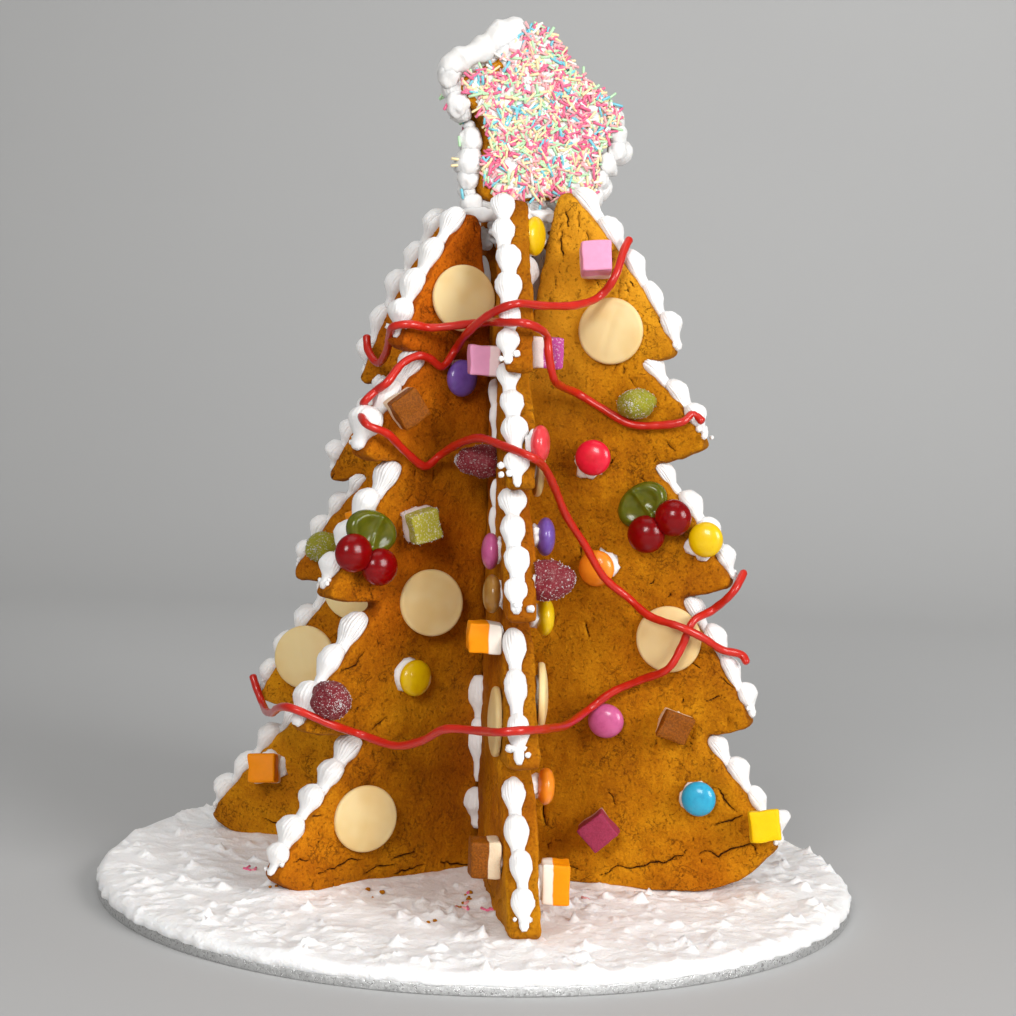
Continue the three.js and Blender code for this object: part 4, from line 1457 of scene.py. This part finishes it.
def button(rng):
    """A chocolate drop run out flat, with a soft edge and at times a faint fold."""
    profile = [(r, 0.0) for r in (1, 7, 12)]
    for a in np.linspace(-1.2, 1.45, 11):
        profile.append((12.6 + 0.6 * math.cos(a) - 0.5 * max(a, 0) ** 2, 1.3 + 1.3 * math.sin(a)))
    rim, top = profile[-1]
    profile += [(rim * r, top + 1.3 * (1 - r * r)) for r in np.linspace(0.94, 0.05, 11)]
    points, faces = turned(profile, 60)
    upper = points[:, 2] > 2.6
    lean = rng.uniform(1.2, 1.9)
    across = points[:, 0] * math.sin(lean) - points[:, 1] * math.cos(lean)
    fold = 0.28 * rng.uniform(0.0, 1.0) * np.exp(-((across / 1.8) ** 2))
    points[:, 2] += np.where(upper, 0.1 * waves(points, 16, rng.integers(1e6)) - fold, 0)
    return points, faces


def gum_profile(radius, height):
    t = np.linspace(0.0, 1.0, 16)
    rise = height * np.sin(t * math.pi / 2) ** 1.1
    wide = radius * (1 - (rise / height) ** 2.4) ** (1 / 2.2)
    wide *= 0.88 + 0.12 * np.clip(rise / (0.3 * height), 0, 1)
    base = [(0.25 * radius, 0.0), (0.6 * radius, 0.0)]
    return base + [(max(w, 0.25), z) for w, z in zip(wide, rise)]


def gum_shape(height, narrow, middle, rng):
    points, faces = turned(gum_profile(8.0, height), 40)
    points *= (1, narrow, 1)
    return uneven(points, 0.25, 7, rng, (0, 0, middle)), faces


def dome(rng):
    return gum_shape(15.6, 1, 6, rng)


def gumdrop(rng):
    return gum_shape(12.0, 0.85, 5, rng)


def block(half, rounding):
    """A cube about the middle with soft edges."""
    cells = 11
    line = np.sin(np.linspace(-1, 1, cells + 1) * math.pi / 2 * 0.98) / math.sin(math.pi / 2 * 0.98)
    u, v = np.meshgrid(line, line, indexing="ij")
    points = []
    faces = []
    count = cells + 1
    index = np.arange(count * count).reshape(count, count)
    quads = np.stack([index[:-1, :-1], index[1:, :-1], index[1:, 1:], index[:-1, 1:]], -1).reshape(-1, 4)
    for axis in range(3):
        for sign in (-1, 1):
            grid = np.empty((count * count, 3))
            grid[:, axis] = sign
            grid[:, (axis + 1) % 3] = u.ravel()
            grid[:, (axis + 2) % 3] = v.ravel()
            faces.append((quads if sign > 0 else quads[:, ::-1]) + len(points) * count * count)
            points.append(grid)
    points = np.concatenate(points) * half
    inner = np.clip(points, -(np.array(half) - rounding), np.array(half) - rounding)
    points = inner + rounding * unit(points - inner)
    return weld(points, np.concatenate(faces))


def weld(points, quads):
    """Joins points that are in the same place."""
    _, first, place = np.unique(np.round(points, 4), axis=0, return_index=True, return_inverse=True)
    return points[first], [place.reshape(-1)[quads]]


def cube(rng):
    half = CUBE_HALF * rng.uniform(0.94, 1.04, 3)
    points, faces = block(half, CUBE_ROUNDING)
    points[:, 2] += half[2]
    points = uneven(points, 0.22, 9, rng, (0, 0, CUBE_HALF))
    points[:, :2] += rng.normal(0, 0.04, 2) * points[:, 2:]
    return points, faces


def cherry_pair():
    """Two halved cherries side by side."""
    up = np.linspace(0.05, math.pi - 0.05, 18)
    heap = Heap()
    for x, y, radius in ((-6.4, -4.0, 7.6), (6.2, -5.4, 7.4)):
        points, faces = turned(np.c_[radius * np.sin(up), radius * 0.72 * (1 - np.cos(up))], 36)
        heap.add(points + (x, y, 0), faces)
    return np.concatenate(heap.points), heap.faces


def cherry_leaf():
    """A soft leaf with a raised rim and a midrib."""
    profile = [
        (0.5, 0.0), (6, 0.0), (9.6, 0.6), (10.4, 2.2), (10.2, 4.0), (9.0, 5.5), (7.6, 5.9),
        (6.4, 5.3), (4.5, 5.0), (2.5, 4.9), (0.6, 4.8),
    ]
    points, faces = turned(profile, 56)
    points *= (1.05, 0.78, 1)
    rib = np.exp(-((points[:, 0] - 1.0) / 1.1) ** 2) * np.clip(points[:, 2] - 4, 0, 1)
    points[:, 2] += 1.1 * rib
    points += (-1, 6.4, 0)
    return points, faces


SHAPES = {"lentil": lentil, "button": button, "gumdrop": gumdrop, "dome": dome, "cube": cube}
# How far the middle of a CAD shape lies from the place that the shape is built about.
FLAT_CENTRES = {"cherries": (-0.2, 0.85)}
# How far each sweet is turned on its face, in degrees.
TURNS = {
    "right_cube_1": 3, "right_gumdrop_1": 10, "right_cherries_1": 40, "right_cube_2": -20,
    "right_cube_3": 8, "right_cube_4": 40, "left_cube_1": 35, "left_cherries_1": -20,
    "left_cube_2": 15, "back_left_cube_1": 5,
}


def face_matrix(fin, side):
    """Axes of a fin's face: X and Y lie in the face and Z points out of it."""
    base = fin_matrix(fin) @ Matrix.Translation((0, side * (FIN_THICKNESS / 2 + GAP), 0))
    stand = Matrix.Rotation(math.pi / 2, 4, "X")
    flip = Matrix.Rotation(math.pi if side > 0 else 0.0, 4, "Z")
    return base @ flip @ stand


# Sweets that sit tilted on their icing: shift in the face and out of it, tilt about the upright and the
# level line in degrees, and stretch.
Nudge = namedtuple("Nudge", "shift tilt stretch", defaults=((0, 0, 0), (0, 0), (1, 1, 1)))
STILL = Nudge()
NUDGES = {
    "right_cube_1": Nudge((-1.5, -1.8, 1.2), (22, -14), (1.03, 1.05, 1)),
    "right_cube_2": Nudge((-0.8, 1.0, 1.4), (20, -4)),
    "right_cube_3": Nudge((0, 0, 1.0), (14, -8)),
    "right_cube_4": Nudge((0, 0, 1.4), (16, 0)),
    "right_gumdrop_1": Nudge((0, 0, 0), (0, 0), (1, 0.9, 1)),
    "left_button_1": Nudge((0, 0, 2.6), (-16, -5)),
    "left_button_2": Nudge((0, 0, 2.8), (-17, -8)),
    "left_button_3": Nudge((0, 0, 2.0), (-12, 0)),
    "left_cube_1": Nudge((0, 0, 1.4), (-20, 0), (1, 1, 0.85)),
    "left_cube_2": Nudge((0, 0, 1.0), (-10, 0)),
    "left_cherries_1": Nudge((0, 0, 1.0), (-9, 0)),
    "left_dome_1": Nudge((3.0, -1.4, 0), (-14, 0), (0.96, 0.96, 0.96)),
    "front_right_lentil_1": Nudge((0, 1.6, -0.6), (-26, 0), (1.06, 1.08, 1.1)),
    "front_right_lentil_2": Nudge((-2.0, -0.6, -2.6), (-14, 0)),
    "front_right_lentil_3": Nudge((0, -1.0, 1.5)),
    "front_right_lentil_4": Nudge((0, -1.4, 2.2)),
    "front_right_lentil_5": Nudge((0, -0.8, 3.6), (-4, 0)),
    "front_right_button_1": Nudge((0, 0, 1.8)),
    "front_right_button_2": Nudge((0, -2.6, 2.4), (-5, 0)),
    "front_right_dome_1": Nudge((0, 0, -1.0)),
    "front_right_cube_2": Nudge((0, -1.8, 3.0), (-4, 0), (1, 1.3, 0.82)),
    "back_left_cube_1": Nudge((0, 0, 1.4), (10, -14)),
    "back_left_button_1": Nudge((4.0, 6.5, 0.6), (0, -5)),
    "back_left_button_2": Nudge((0, 0, 1.4), (4, -8)),
    "front_left_dome_1": Nudge((0, 0.4, 0), (0, 0), (1, 0.84, 1)),
    "front_left_cube_3": Nudge((0, 0, 0.4), (0, 0), (1, 1.1, 0.9)),
}


def seat(node, face, turn, kind):
    """Where a CAD sweet sits on its face, as a matrix in millimetres."""
    base = face_matrix(*FACES[face])
    around = Matrix.Rotation(math.radians(turn), 4, "Z")
    local = moved(mesh_points(frame["nodes"][node].data), (base @ around).inverted())
    middle = (local.min(0) + local.max(0)) / 2
    away = FLAT_CENTRES.get(kind, (0, 0))
    shift, (upright, level), stretch = NUDGES.get(node, STILL)
    centre = around @ Vector((middle[0] - away[0], middle[1] - away[1], 0)) + Vector(shift)
    lean = Matrix.Rotation(math.radians(upright), 4, "Y") @ Matrix.Rotation(math.radians(level), 4, "X")
    return base @ Matrix.Translation(centre) @ lean @ around @ Matrix.Diagonal((*stretch, 1))


SHELL_COLOURS = {
    "yellow": ((0.77, 0.50, 0.001), (0.70, 0.42, 0.001)),
    "red": ((0.72, 0.010, 0.035), (0.60, 0.008, 0.025)),
    "coral": ((0.74, 0.050, 0.060), (0.64, 0.035, 0.04)),
    "orange": ((0.90, 0.27, 0.015), (0.84, 0.22, 0.01)),
    "pink": ((0.57, 0.11, 0.28), (0.48, 0.08, 0.23)),
    "purple": ((0.16, 0.075, 0.34), (0.12, 0.055, 0.26)),
    "blue": ((0.026, 0.37, 0.58), (0.018, 0.29, 0.50)),
    "brown": ((0.36, 0.17, 0.03), (0.28, 0.12, 0.02)),
}
# The outer and the inner layer of each cube, where they meet, if it is sugared, and how grainy it is.
CUBE_LAYERS = {
    "pink": ((0.81, 0.34, 0.52), (0.86, 0.64, 0.64), 0.34, False, 0.0),
    "magenta": ((0.48, 0.06, 0.28), (0.86, 0.74, 0.70), 0.36, True, 0.0),
    "brown": ((0.30, 0.082, 0.002), (0.80, 0.62, 0.42), 0.40, False, 0.55),
    "orange": ((0.93, 0.29, 0.001), (0.86, 0.76, 0.66), 0.38, False, 0.0),
    "yellow": ((0.90, 0.56, 0.001), (0.88, 0.57, 0.01), 0.45, False, 0.0),
    "purple": ((0.38, 0.040, 0.095), (0.66, 0.42, 0.36), 0.22, False, 0.3),
    "green": ((0.40, 0.36, 0.03), (0.86, 0.78, 0.74), 0.45, True, 0.0),
}


def sweet_materials():
    looks = {
        ("button", "cream"): cream_button(),
        ("gumdrop", "green"): gum("gum_green", (0.34, 0.32, 0.012), (0.20, 0.20, 0.006)),
        ("dome", "purple"): gum("gum_purple", (0.25, 0.018, 0.030), (0.12, 0.004, 0.008)),
        "cherry": jelly("jelly_red", (0.38, 0.001, 0.003), (0.20, 0.001, 0.002), (1.0, 0.05, 0.05)),
        "leaf": jelly("jelly_green", (0.24, 0.22, 0.010), (0.06, 0.09, 0.006), (0.6, 1.0, 0.1)),
    }
    for colour, shades in SHELL_COLOURS.items():
        looks[("lentil", colour)] = shell_sweet(f"shell_{colour}", *shades)
    for colour, layers in CUBE_LAYERS.items():
        looks[("cube", colour)] = layered(f"cube_{colour}", *layers)
    return looks


def grains(sugar_heap, points, place, rng, count):
    """Sugar grains stuck on the outside of a shape that is then moved to its place."""
    heap = Heap()
    middle = points.mean(0)
    corners = np.array([(1, 1, 1), (1, -1, -1), (-1, 1, -1), (-1, -1, 1)], float)
    sides = np.array([(0, 2, 1), (0, 1, 3), (0, 3, 2), (1, 2, 3)])
    for spot in points[rng.integers(len(points), size=count)]:
        turn = np.linalg.qr(rng.normal(size=(3, 3)))[0]
        turn = turn * np.sign(np.linalg.det(turn))
        out = unit(spot - middle)
        slide = rng.normal(0, 0.45, 3)
        slide = slide - out * (slide @ out)
        grain = corners * GRAIN_SIZE * rng.uniform(0.6, 1.15) @ turn.T
        heap.add(grain + spot + slide, [sides])
    sugar_heap.add(moved(np.concatenate(heap.points), place), heap.faces)


# Icing that shows round a sweet, as (shift across the face, shift up it, size beside the usual one).
DABS = {
    "right_lentil_1": (-1.6, -1.8, 1.0),
    "right_lentil_2": (-1.6, -1.6, 1.0),
    "right_lentil_3": (2.6, 0.8, 0.95),
    "right_lentil_5": (-1.6, -0.5, 1.0),
    "right_cube_1": (0, 0, 0.7),
    "right_cube_2": (0, 0, 0.8),
    "right_cube_4": (-0.6, -0.6, 0.85),
    "left_lentil_2": (-1.8, 1.2, 1.0),
    "left_dome_1": (-0.5, -1.0, 0.95),
    "back_left_cube_1": (1.6, 1.4, 0.95),
    "front_right_lentil_1": (0.5, 0.5, 1.2),
    "front_right_lentil_3": (0, 0, 0.68),
    "front_right_lentil_4": (0, 0, 0.68),
    "front_right_lentil_5": (0, 0, 0.72),
}


# Half the depth of the icing behind a sweet; a button is too thin for more.
DAB_DEPTHS = {"button": 1.3}
COMMON_DAB_DEPTH = 2.3


def dab(heap, place, kind, size, shift, rng, lift):
    """The icing that a sweet is stuck on with, drawn out by as much as the sweet is lifted."""
    size = BIG[kind] * size
    points = Heap()
    blob(points, (0, 0, 0), (size, size, DAB_DEPTHS.get(kind, COMMON_DAB_DEPTH)), rng, 12)
    made = points.points[0] * (1, 1, 1 + lift / 3) + (shift[0], shift[1], 0.6 - lift / 2)
    heap.add(moved(made, place), points.faces)


SUGARED = ("gumdrop", "dome")
GRAIN_SIZE = 0.2
GRAINS = 260
DOME_GRAINS = 380
# How far the icing under each kind of sweet reaches.
BIG = {"lentil": 6.3, "button": 9.5, "gumdrop": 6.2, "dome": 7.0, "cube": 6.4, "cherries": 8.0}


def sweet_parts(kind, colour, rng):
    """The pieces of one sweet: the look of each, its points and faces, and how high they lie on it."""
    if kind == "cherries":
        return [("cherry", *cherry_pair(), {}), ("leaf", *cherry_leaf(), {})]
    points, faces = SHAPES[kind](rng)
    lift = np.clip(points[:, 2] / points[:, 2].max(), 0, 1)
    return [((kind, colour), points, faces, {"lift": lift})]


def cad_sweets(looks, sugar_heap, dabs):
    """The sweets that the CAD has, each at its place there."""
    for part in frame["record"]["subparts"]:
        node = part["node"]
        face = next((f for f in sorted(FACES, key=len, reverse=True) if node.startswith(f + "_")), None)
        if face is None:
            continue
        kind = node[len(face) + 1:].rsplit("_", 1)[0]
        slot = part["material_slot"]
        colour = "magenta" if node == "front_right_cube_1" else slot.replace("sweet_", "")
        rng = np.random.default_rng(sum(map(ord, node)))
        place = seat(node, face, TURNS.get(node, 0), kind)
        for look, points, faces, values in sweet_parts(kind, colour, rng):
            heap = Heap()
            heap.add(points, faces, **values)
            name = node + ("_sweet_leaf" if look == "leaf" else "_sweet")
            heap.build(name, looks[look], slot, [node], place)
        if kind in SUGARED or (kind, colour) == ("cube", "green"):
            grains(sugar_heap, points, place, rng, DOME_GRAINS if kind == "dome" else GRAINS)
        shift = DABS.get(node, (*rng.normal(0, 0.5, 2), 0.8))
        lift = max(NUDGES.get(node, STILL).shift[2], 0.0)
        dab(dabs, place, kind, shift[2], shift[:2], rng, lift)


# The faces that the CAD leaves bare.
OTHER_FACES = [
    ("fin_right", 1), ("fin_back_right", -1), ("fin_back_right", 1), ("fin_back", -1),
    ("fin_back", 1), ("fin_back_left", -1), ("fin_left", -1),
]
# The radius that each kind needs, the kinds in turn for each face, and the colours in turn for each kind.
ROOM = {"lentil": 8.0, "button": 13.8, "gumdrop": 9.0, "dome": 9.0, "cube": 9.0, "cherries": 15.5}
MIXES = [
    ["button", "lentil", "cube", "button", "dome", "lentil", "cherries", "lentil", "cube"],
    ["cherries", "button", "lentil", "gumdrop", "button", "cube", "lentil", "lentil", "cube"],
    ["button", "cube", "dome", "lentil", "button", "lentil", "cube", "gumdrop", "lentil"],
]
COLOURS = {
    "lentil": ["yellow", "blue", "red", "orange", "pink", "purple", "coral", "brown"],
    "cube": ["pink", "orange", "brown", "yellow", "green", "purple"],
    "button": ["cream"],
    "gumdrop": ["green"],
    "dome": ["purple"],
    "cherries": ["red"],
}


SWEET_REACHES = (32, 112)
SWEET_HEIGHTS = (24, 262)
SWEET_GAP = 3
EDGE_GAP = 1.5
PLACE_TRIES = 400


def free_places(fin, kinds, rng):
    """Places for sweets on a bare face, clear of its edges and of each other."""
    outline = fin_outline(FINS[fin])
    rim = np.concatenate([outline, outline[:1]])
    taken = []
    found = []
    for kind in kinds:
        room = ROOM[kind]
        low, high = SWEET_REACHES
        for _ in range(PLACE_TRIES):
            place = np.array((rng.uniform(low + room * 0.8, high), rng.uniform(*SWEET_HEIGHTS)))
            apart = all(np.linalg.norm(place - other) > room + far + SWEET_GAP for other, far in taken)
            edge, _ = line_distance(place[None], rim)
            if apart and inside(outline, place) and edge[0] > room + EDGE_GAP:
                taken.append((place, room))
                found.append((kind, place))
                break
    return found


def other_sweets(looks, sugar_heap, dabs):
    """Sweets on the faces turned away, in one piece for each kind and colour."""
    rng = np.random.default_rng(9)
    heaps = {}
    served = {kind: 0 for kind in COLOURS}
    for order, (fin, side) in enumerate(OTHER_FACES):
        for kind, (reach, height) in free_places(fin, MIXES[order % len(MIXES)], rng):
            colour = COLOURS[kind][served[kind] % len(COLOURS[kind])]
            served[kind] += 1
            place = face_matrix(fin, side) @ Matrix.Translation((-side * reach, height, 0))
            place = place @ Matrix.Rotation(rng.uniform(-0.7, 0.7), 4, "Z")
            for look, points, faces, values in sweet_parts(kind, colour, rng):
                heaps.setdefault(look, Heap()).add(moved(points, place), faces, **values)
            if kind in SUGARED:
                grains(sugar_heap, points, place, rng, GRAINS)
            dab(dabs, place, kind, 0.9, rng.normal(0, 0.8, 2), rng, 0.0)
    for look, heap in heaps.items():
        kind, colour = (look, "red") if isinstance(look, str) else look
        name = f"other_{look}" if isinstance(look, str) else f"other_{colour}_{kind}"
        heap.build(name, looks[look], f"sweet_{colour}")


# ---------------------------------------------------------------- laces
def tube(points, radius):
    """A round strand along the points, with soft ends."""
    along = unit(np.gradient(points, axis=0))
    side = unit(np.cross(along[0], (0.3, 0.2, 0.9)))
    steps = np.linalg.norm(np.diff(points, axis=0), axis=1)
    far = np.concatenate([[0], np.cumsum(steps)])
    turn = circle(LACE_SIDES)
    rings = []
    for place, way, distance in zip(points, along, far):
        side = unit(side - way * np.dot(side, way))
        up = np.cross(way, side)
        rest = min(distance, far[-1] - distance)
        size = radius * (0.62 + 0.38 * min(1.0, rest / 0.6))
        size *= 1 + 0.05 * math.sin(distance * 0.31) + 0.03 * math.sin(distance * 1.13 + 1)
        rings.append(place + size * (np.cos(turn)[:, None] * side + np.sin(turn)[:, None] * up))
    return skin(np.array(rings))


# Points of the laces that are pulled clear of the piping, by their number in the lace.
LACE_PULLS = {
    "lace_high": {16: (-1, -20, -2), 17: (4, -44, 2)},
    "lace_second": {
        0: (0, -10, -1), 1: (2, -12, 0), 2: (4, -11, 0),
        3: (5, 10, 1), 4: (4, 13, 1), 5: (0, 4, 0),
    },
    "lace_third": {0: (1, 6, 0), 1: (0, -1, 0)},
}


def make_laces(material):
    for name, places in LACES.items():
        points = np.array(places, float)
        for number, pull in LACE_PULLS.get(name, {}).items():
            points[number] += pull
        heap = Heap()
        heap.add(*tube(catmull(points, 12), LACE_RADIUS))
        heap.build(name + "_strand", material, "lace", [name])
    for name, heights in GARLANDS.items():
        heap = Heap()
        heap.add(*tube(catmull(garland(BACK_FINS, heights), 9), LACE_RADIUS))
        heap.build(name, material, "lace")


# Laces round the back: the fins that they hang on, and the height of each lace at each fin.
GARLAND_DIP = 9
PIPING_CLEAR = 7.6  # how far past a fin's edge a lace lies on its piping
BACK_FINS = ("fin_right", "fin_back_right", "fin_back", "fin_back_left")
GARLANDS = {
    "garland_high": (250, 236, 246, 232),
    "garland_middle": (196, 188, 150, 200),
    "garland_third": (134, 146, 192, 150),
    "garland_low": (98, 86, 94, 84),
}


def edge_reach(fin, height):
    """How far a fin reaches at a height."""
    outline = np.concatenate([fin_outline(FINS[fin])] * 2)
    low, high = outline[:-1], outline[1:]
    cross = (low[:, 1] - height) * (high[:, 1] - height) <= 0
    return max(low[cross, 0].max(), high[cross, 0].max())


def over_fin(fins, heights, order):
    """A garland's places at one of its fins: over the piping, or tucked behind it at an end."""
    height = heights[order]
    reach = edge_reach(fins[order], height)
    over = [
        (reach + 1, -9, height - 1), (reach + PIPING_CLEAR, -3, height + 1),
        (reach + PIPING_CLEAR, 3, height + 1), (reach + 1, 9, height - 1),
    ]
    if order == 0:
        over = [(reach - 9, 7.6, height + 4), (reach - 5, 8.5, height)]
    if order == len(fins) - 1:
        over = [(reach - 5, -8.5, height), (reach - 9, -7.6, height + 4)]
    return [np.array(fin_matrix(fins[order]) @ Vector(place)) for place in over]


def garland(fins, heights):
    """A lace that goes over the edges of the fins and dips in between them."""
    route = over_fin(fins, heights, 0)
    for order in range(len(fins) - 1):
        half, _ = sector_angles(fins[order])
        away = math.radians(FINS[fins[order]].azimuth) + half
        reaches = [edge_reach(fins[k], heights[k]) for k in (order, order + 1)]
        inward = 0.5 * (reaches[0] + reaches[1])
        low = (heights[order] + heights[order + 1]) / 2 - GARLAND_DIP
        for share, along in ((0.62, -0.28), (0.55, 0.0), (0.62, 0.28)):
            x = TREE_X + share * inward * math.cos(away + along)
            y = TREE_Y + share * inward * math.sin(away + along)
            route.append(np.array((x, y, low + 12 * abs(along))))
        route += over_fin(fins, heights, order + 1)
    return route


# ---------------------------------------------------------------- board and snow
def make_board(material):
    profile = [(r, 0.0) for r in np.linspace(2, BOARD_RADIUS - 1.2, 3)]
    middle = BOARD_RADIUS - BOARD_ROUNDING
    for first, height in ((-90, BOARD_ROUNDING), (0, BOARD_THICKNESS - BOARD_ROUNDING)):
        for step in range(5):
            out, up = polar(BOARD_ROUNDING, first + 90 * step / 4)
            profile.append((middle + out, height + up))
    profile += [(r, BOARD_THICKNESS) for r in np.linspace(BOARD_RADIUS - 1.2, 2, 3)]
    points, faces = turned(profile, 240)
    angle = np.arctan2(points[:, 1], points[:, 0])
    edge = np.linalg.norm(points[:, :2], axis=1) > BOARD_RADIUS - 1.5
    points[:, 2] += np.where(edge, 0.12 * np.sin(31 * angle) * (points[:, 2] > 2), 0)
    heap = Heap()
    heap.add(points, faces)
    heap.build("board_card", material, "foil", ["board"])


def fin_distance(flat):
    """How far a place on the board is from the nearest fin's foot."""
    nearest = np.full(len(flat), 1e9)
    for fin in FINS.values():
        way = np.array(polar(1, fin.azimuth))
        shift = flat - (TREE_X, TREE_Y)
        reach = np.clip(shift @ way, 0, fin.tips[-1][0] - 8)
        nearest = np.minimum(nearest, np.linalg.norm(shift - reach[:, None] * way, axis=1))
    return np.maximum(nearest - FIN_THICKNESS / 2, 0)


SNOW_LEVEL = 4.1  # above the card
# The icing pushed up at the fins' feet, and heaped towards the rim at the back.
FOOT_BANK = 2.6
FOOT_BANK_WIDTH = 9
BACK_HEAP = 3.5
# The line along which the icing is scraped thin in front of the right fin.
SCRAPED = [(30.0, -11.0), (92.0, -31.0)]
SCRAPED_DEPTH = 4.6
SCRAPED_WIDTH = 11


def spoon_stroke(flat, middle, heading, size, rng):
    """The points that one stroke reaches, and how high it stands at each of them."""
    long, wide, tall = size
    near = np.flatnonzero(np.abs(flat - middle).max(1) < long + wide)
    away = flat[near] - middle
    forward = (away @ (math.cos(heading), math.sin(heading))) / long
    across = (away @ (-math.sin(heading), math.cos(heading))) / wide
    across = across + rng.normal(0, STROKE_BEND) * forward**2
    crest = np.clip(1 - np.abs(across) * (1.25 + 0.5 * np.sign(across)), 0, 1) ** 1.25
    rise = np.where(forward < 0.55, np.clip((forward + 1) / 1.55, 0, 1) ** 1.6, 1.0)
    drop = np.clip((1 - forward) / 0.45, 0, 1) ** 0.8
    combed = 1 + 0.12 * np.cos(across * wide * 2 * math.pi / COMB_PITCH)
    return near, tall * crest * rise * drop * combed


def snow_height(flat, rng):
    """Swirled icing: strokes of a spoon, each pulled up to a sharp crest that ends in a point."""
    reach = np.linalg.norm(flat, axis=1)
    height = SNOW_LEVEL + 0.35 * waves(flat, 34, 31)
    height += FOOT_BANK * np.exp(-fin_distance(flat) / FOOT_BANK_WIDTH)
    scraped, _ = line_distance(flat, np.array(SCRAPED))
    height -= SCRAPED_DEPTH * np.exp(-((scraped / SCRAPED_WIDTH) ** 2))
    back = np.clip(flat[:, 1] / SNOW_RADIUS, 0, 1)
    height += BACK_HEAP * back * (reach / SNOW_RADIUS) ** 4
    strokes = np.zeros(len(flat))
    for _ in range(SNOW_STROKES):
        turn = rng.uniform(0, 2 * math.pi)
        middle = (SNOW_RADIUS - 4) * math.sqrt(rng.uniform(0.02, 1))
        middle = middle * np.array((math.cos(turn), math.sin(turn)))
        heading = rng.uniform(0, 2 * math.pi)
        if np.linalg.norm(middle) > OUTWARD_FROM:
            heading = turn + rng.normal(0, 0.8)
        size = (
            rng.uniform(*STROKE_LENGTHS), rng.uniform(*STROKE_WIDTHS),
            0.35 + 1.7 * rng.uniform(0, 1) ** 2.6,
        )
        if rng.uniform() < PEAK_SHARE:
            size = [rng.uniform(*span) for span in PEAK_SIZES]
        near, risen = spoon_stroke(flat, middle, heading, size, rng)
        strokes[near] = np.maximum(strokes[near], risen)
    rim = np.clip((SNOW_RADIUS + 0.8 - reach) / 3.0, 0, 1)
    calm = 0.3 + 0.7 * np.clip(fin_distance(flat) / 8, 0, 1)
    return (height + strokes * calm) * (0.45 + 0.55 * np.sqrt(rim))


def make_snow(material):
    rng = np.random.default_rng(3)
    turn = circle(SNOW_SIDES)
    rim = SNOW_RADIUS + 0.35 * waves(level_ring(SNOW_RADIUS, turn, 0)[:, :2], 9, 8) + 0.9
    under = [(0.05, SNOW_LEVEL), (0.985, 3.7), (0.997, 3.4), (1.001, 3.9)]
    rings = [level_ring(share * rim, turn, low) for share, low in under]
    shares = np.concatenate([[1.0], 1 - np.linspace(0.004, 0.80, SNOW_RINGS), [0.12, 0.05, 0.01]])
    flat = np.concatenate([level_ring(share * rim, turn, 0)[:, :2] for share in shares])
    height = BOARD_THICKNESS + snow_height(flat, rng)
    upper = np.c_[flat, height].reshape(len(shares), SNOW_SIDES, 3)
    points, faces = skin(np.concatenate([np.array(rings), upper]))
    near = np.exp(-fin_distance(points[:, :2]) / 16)
    heap = Heap()
    heap.add(points, faces, near_tree=near)
    heap.build("snow", material, "icing", ["snow_icing"], keep=SNOW_KEEP)
    return upper.reshape(-1, 3)


# Crumbs and stray strands on the snow, as (x, y, how many, share of strands).
SNOW_BITS = [
    (-90.6, -20.6, 4, 1.0), (-3, -67, 7, 0.6), (7.4, -76, 4, 0.8), (-40, -52, 3, 0.0), (-14.5, -87.5, 2, 0.0),
    (-2, -54, 5, 0.4), (41, -48, 2, 1.0), (-75, -59.5, 3, 0.0), (60, 70, 5, 0.3), (-30, 90, 4, 0.5),
    (95, -10, 3, 0.2), (-100, 40, 3, 0.0),
]


BITS_SPREAD = 2.6


def snow_bits(snow, strand_look, crumb_look):
    rng = np.random.default_rng(23)
    crumbs = Heap()
    strays = Heap()
    for x, y, count, strands in SNOW_BITS:
        for _ in range(count):
            flat = rng.normal((x, y), BITS_SPREAD)
            top = snow[np.linalg.norm(snow[:, :2] - flat, axis=1).argmin(), 2]
            place = (*flat, top + 0.2)
            if rng.uniform() < strands:
                spin = rng.uniform(0, math.pi)
                points, faces = strand(rng.uniform(2.4, 4.2), 0.55)
                turn = turned_to((math.cos(spin), math.sin(spin), 0.1), (0, 0, 1))
                strays.add(points @ turn.T + place, faces, tint=rng.uniform(0.02, 0.38))
            else:
                size = rng.uniform(0.4, 1.2)
                blob(crumbs, place, (size, size, 0.7 * size), rng, 8)
    crumbs.build("crumbs", crumb_look, "gingerbread")
    strays.build("stray_strands", strand_look, "icing")


# ---------------------------------------------------------------- the whole scene
make_camera()
make_lights()
make_floor()

biscuit_look = gingerbread()
icing_look = icing("icing", (0.86, 0.845, 0.83), (0.82, 0.80, 0.775))
star_look = icing("icing_star", (0.76, 0.75, 0.735), (0.72, 0.705, 0.68))
for order, fin_name in enumerate(FINS):
    biscuit(fin_name, biscuit_look, 100 + 7 * order)
    piping(fin_name, icing_look, 300 + 7 * order)
seam_icing(icing_look)
crown_icing(icing_look)

make_board(foil())
snow_top = make_snow(snow_icing())

star_biscuit("star_front", -1, biscuit_look, 51)
star_biscuit("star_back", 1, biscuit_look, 52)
star_glaze(star_look)
star_ring(star_look)
strand_look = strand_finish()
sprinkles(strand_look)
snow_bits(snow_top, strand_look, biscuit_look)

make_laces(lace_jelly())

sweet_looks = sweet_materials()
sugar_heap = Heap()
dab_heap = Heap()
cad_sweets(sweet_looks, sugar_heap, dab_heap)
other_sweets(sweet_looks, sugar_heap, dab_heap)
sugar_heap.build("sugar_grains", sugar(), "icing")
dab_heap.build("icing_dabs", icing_look, "icing", keep=0.4)
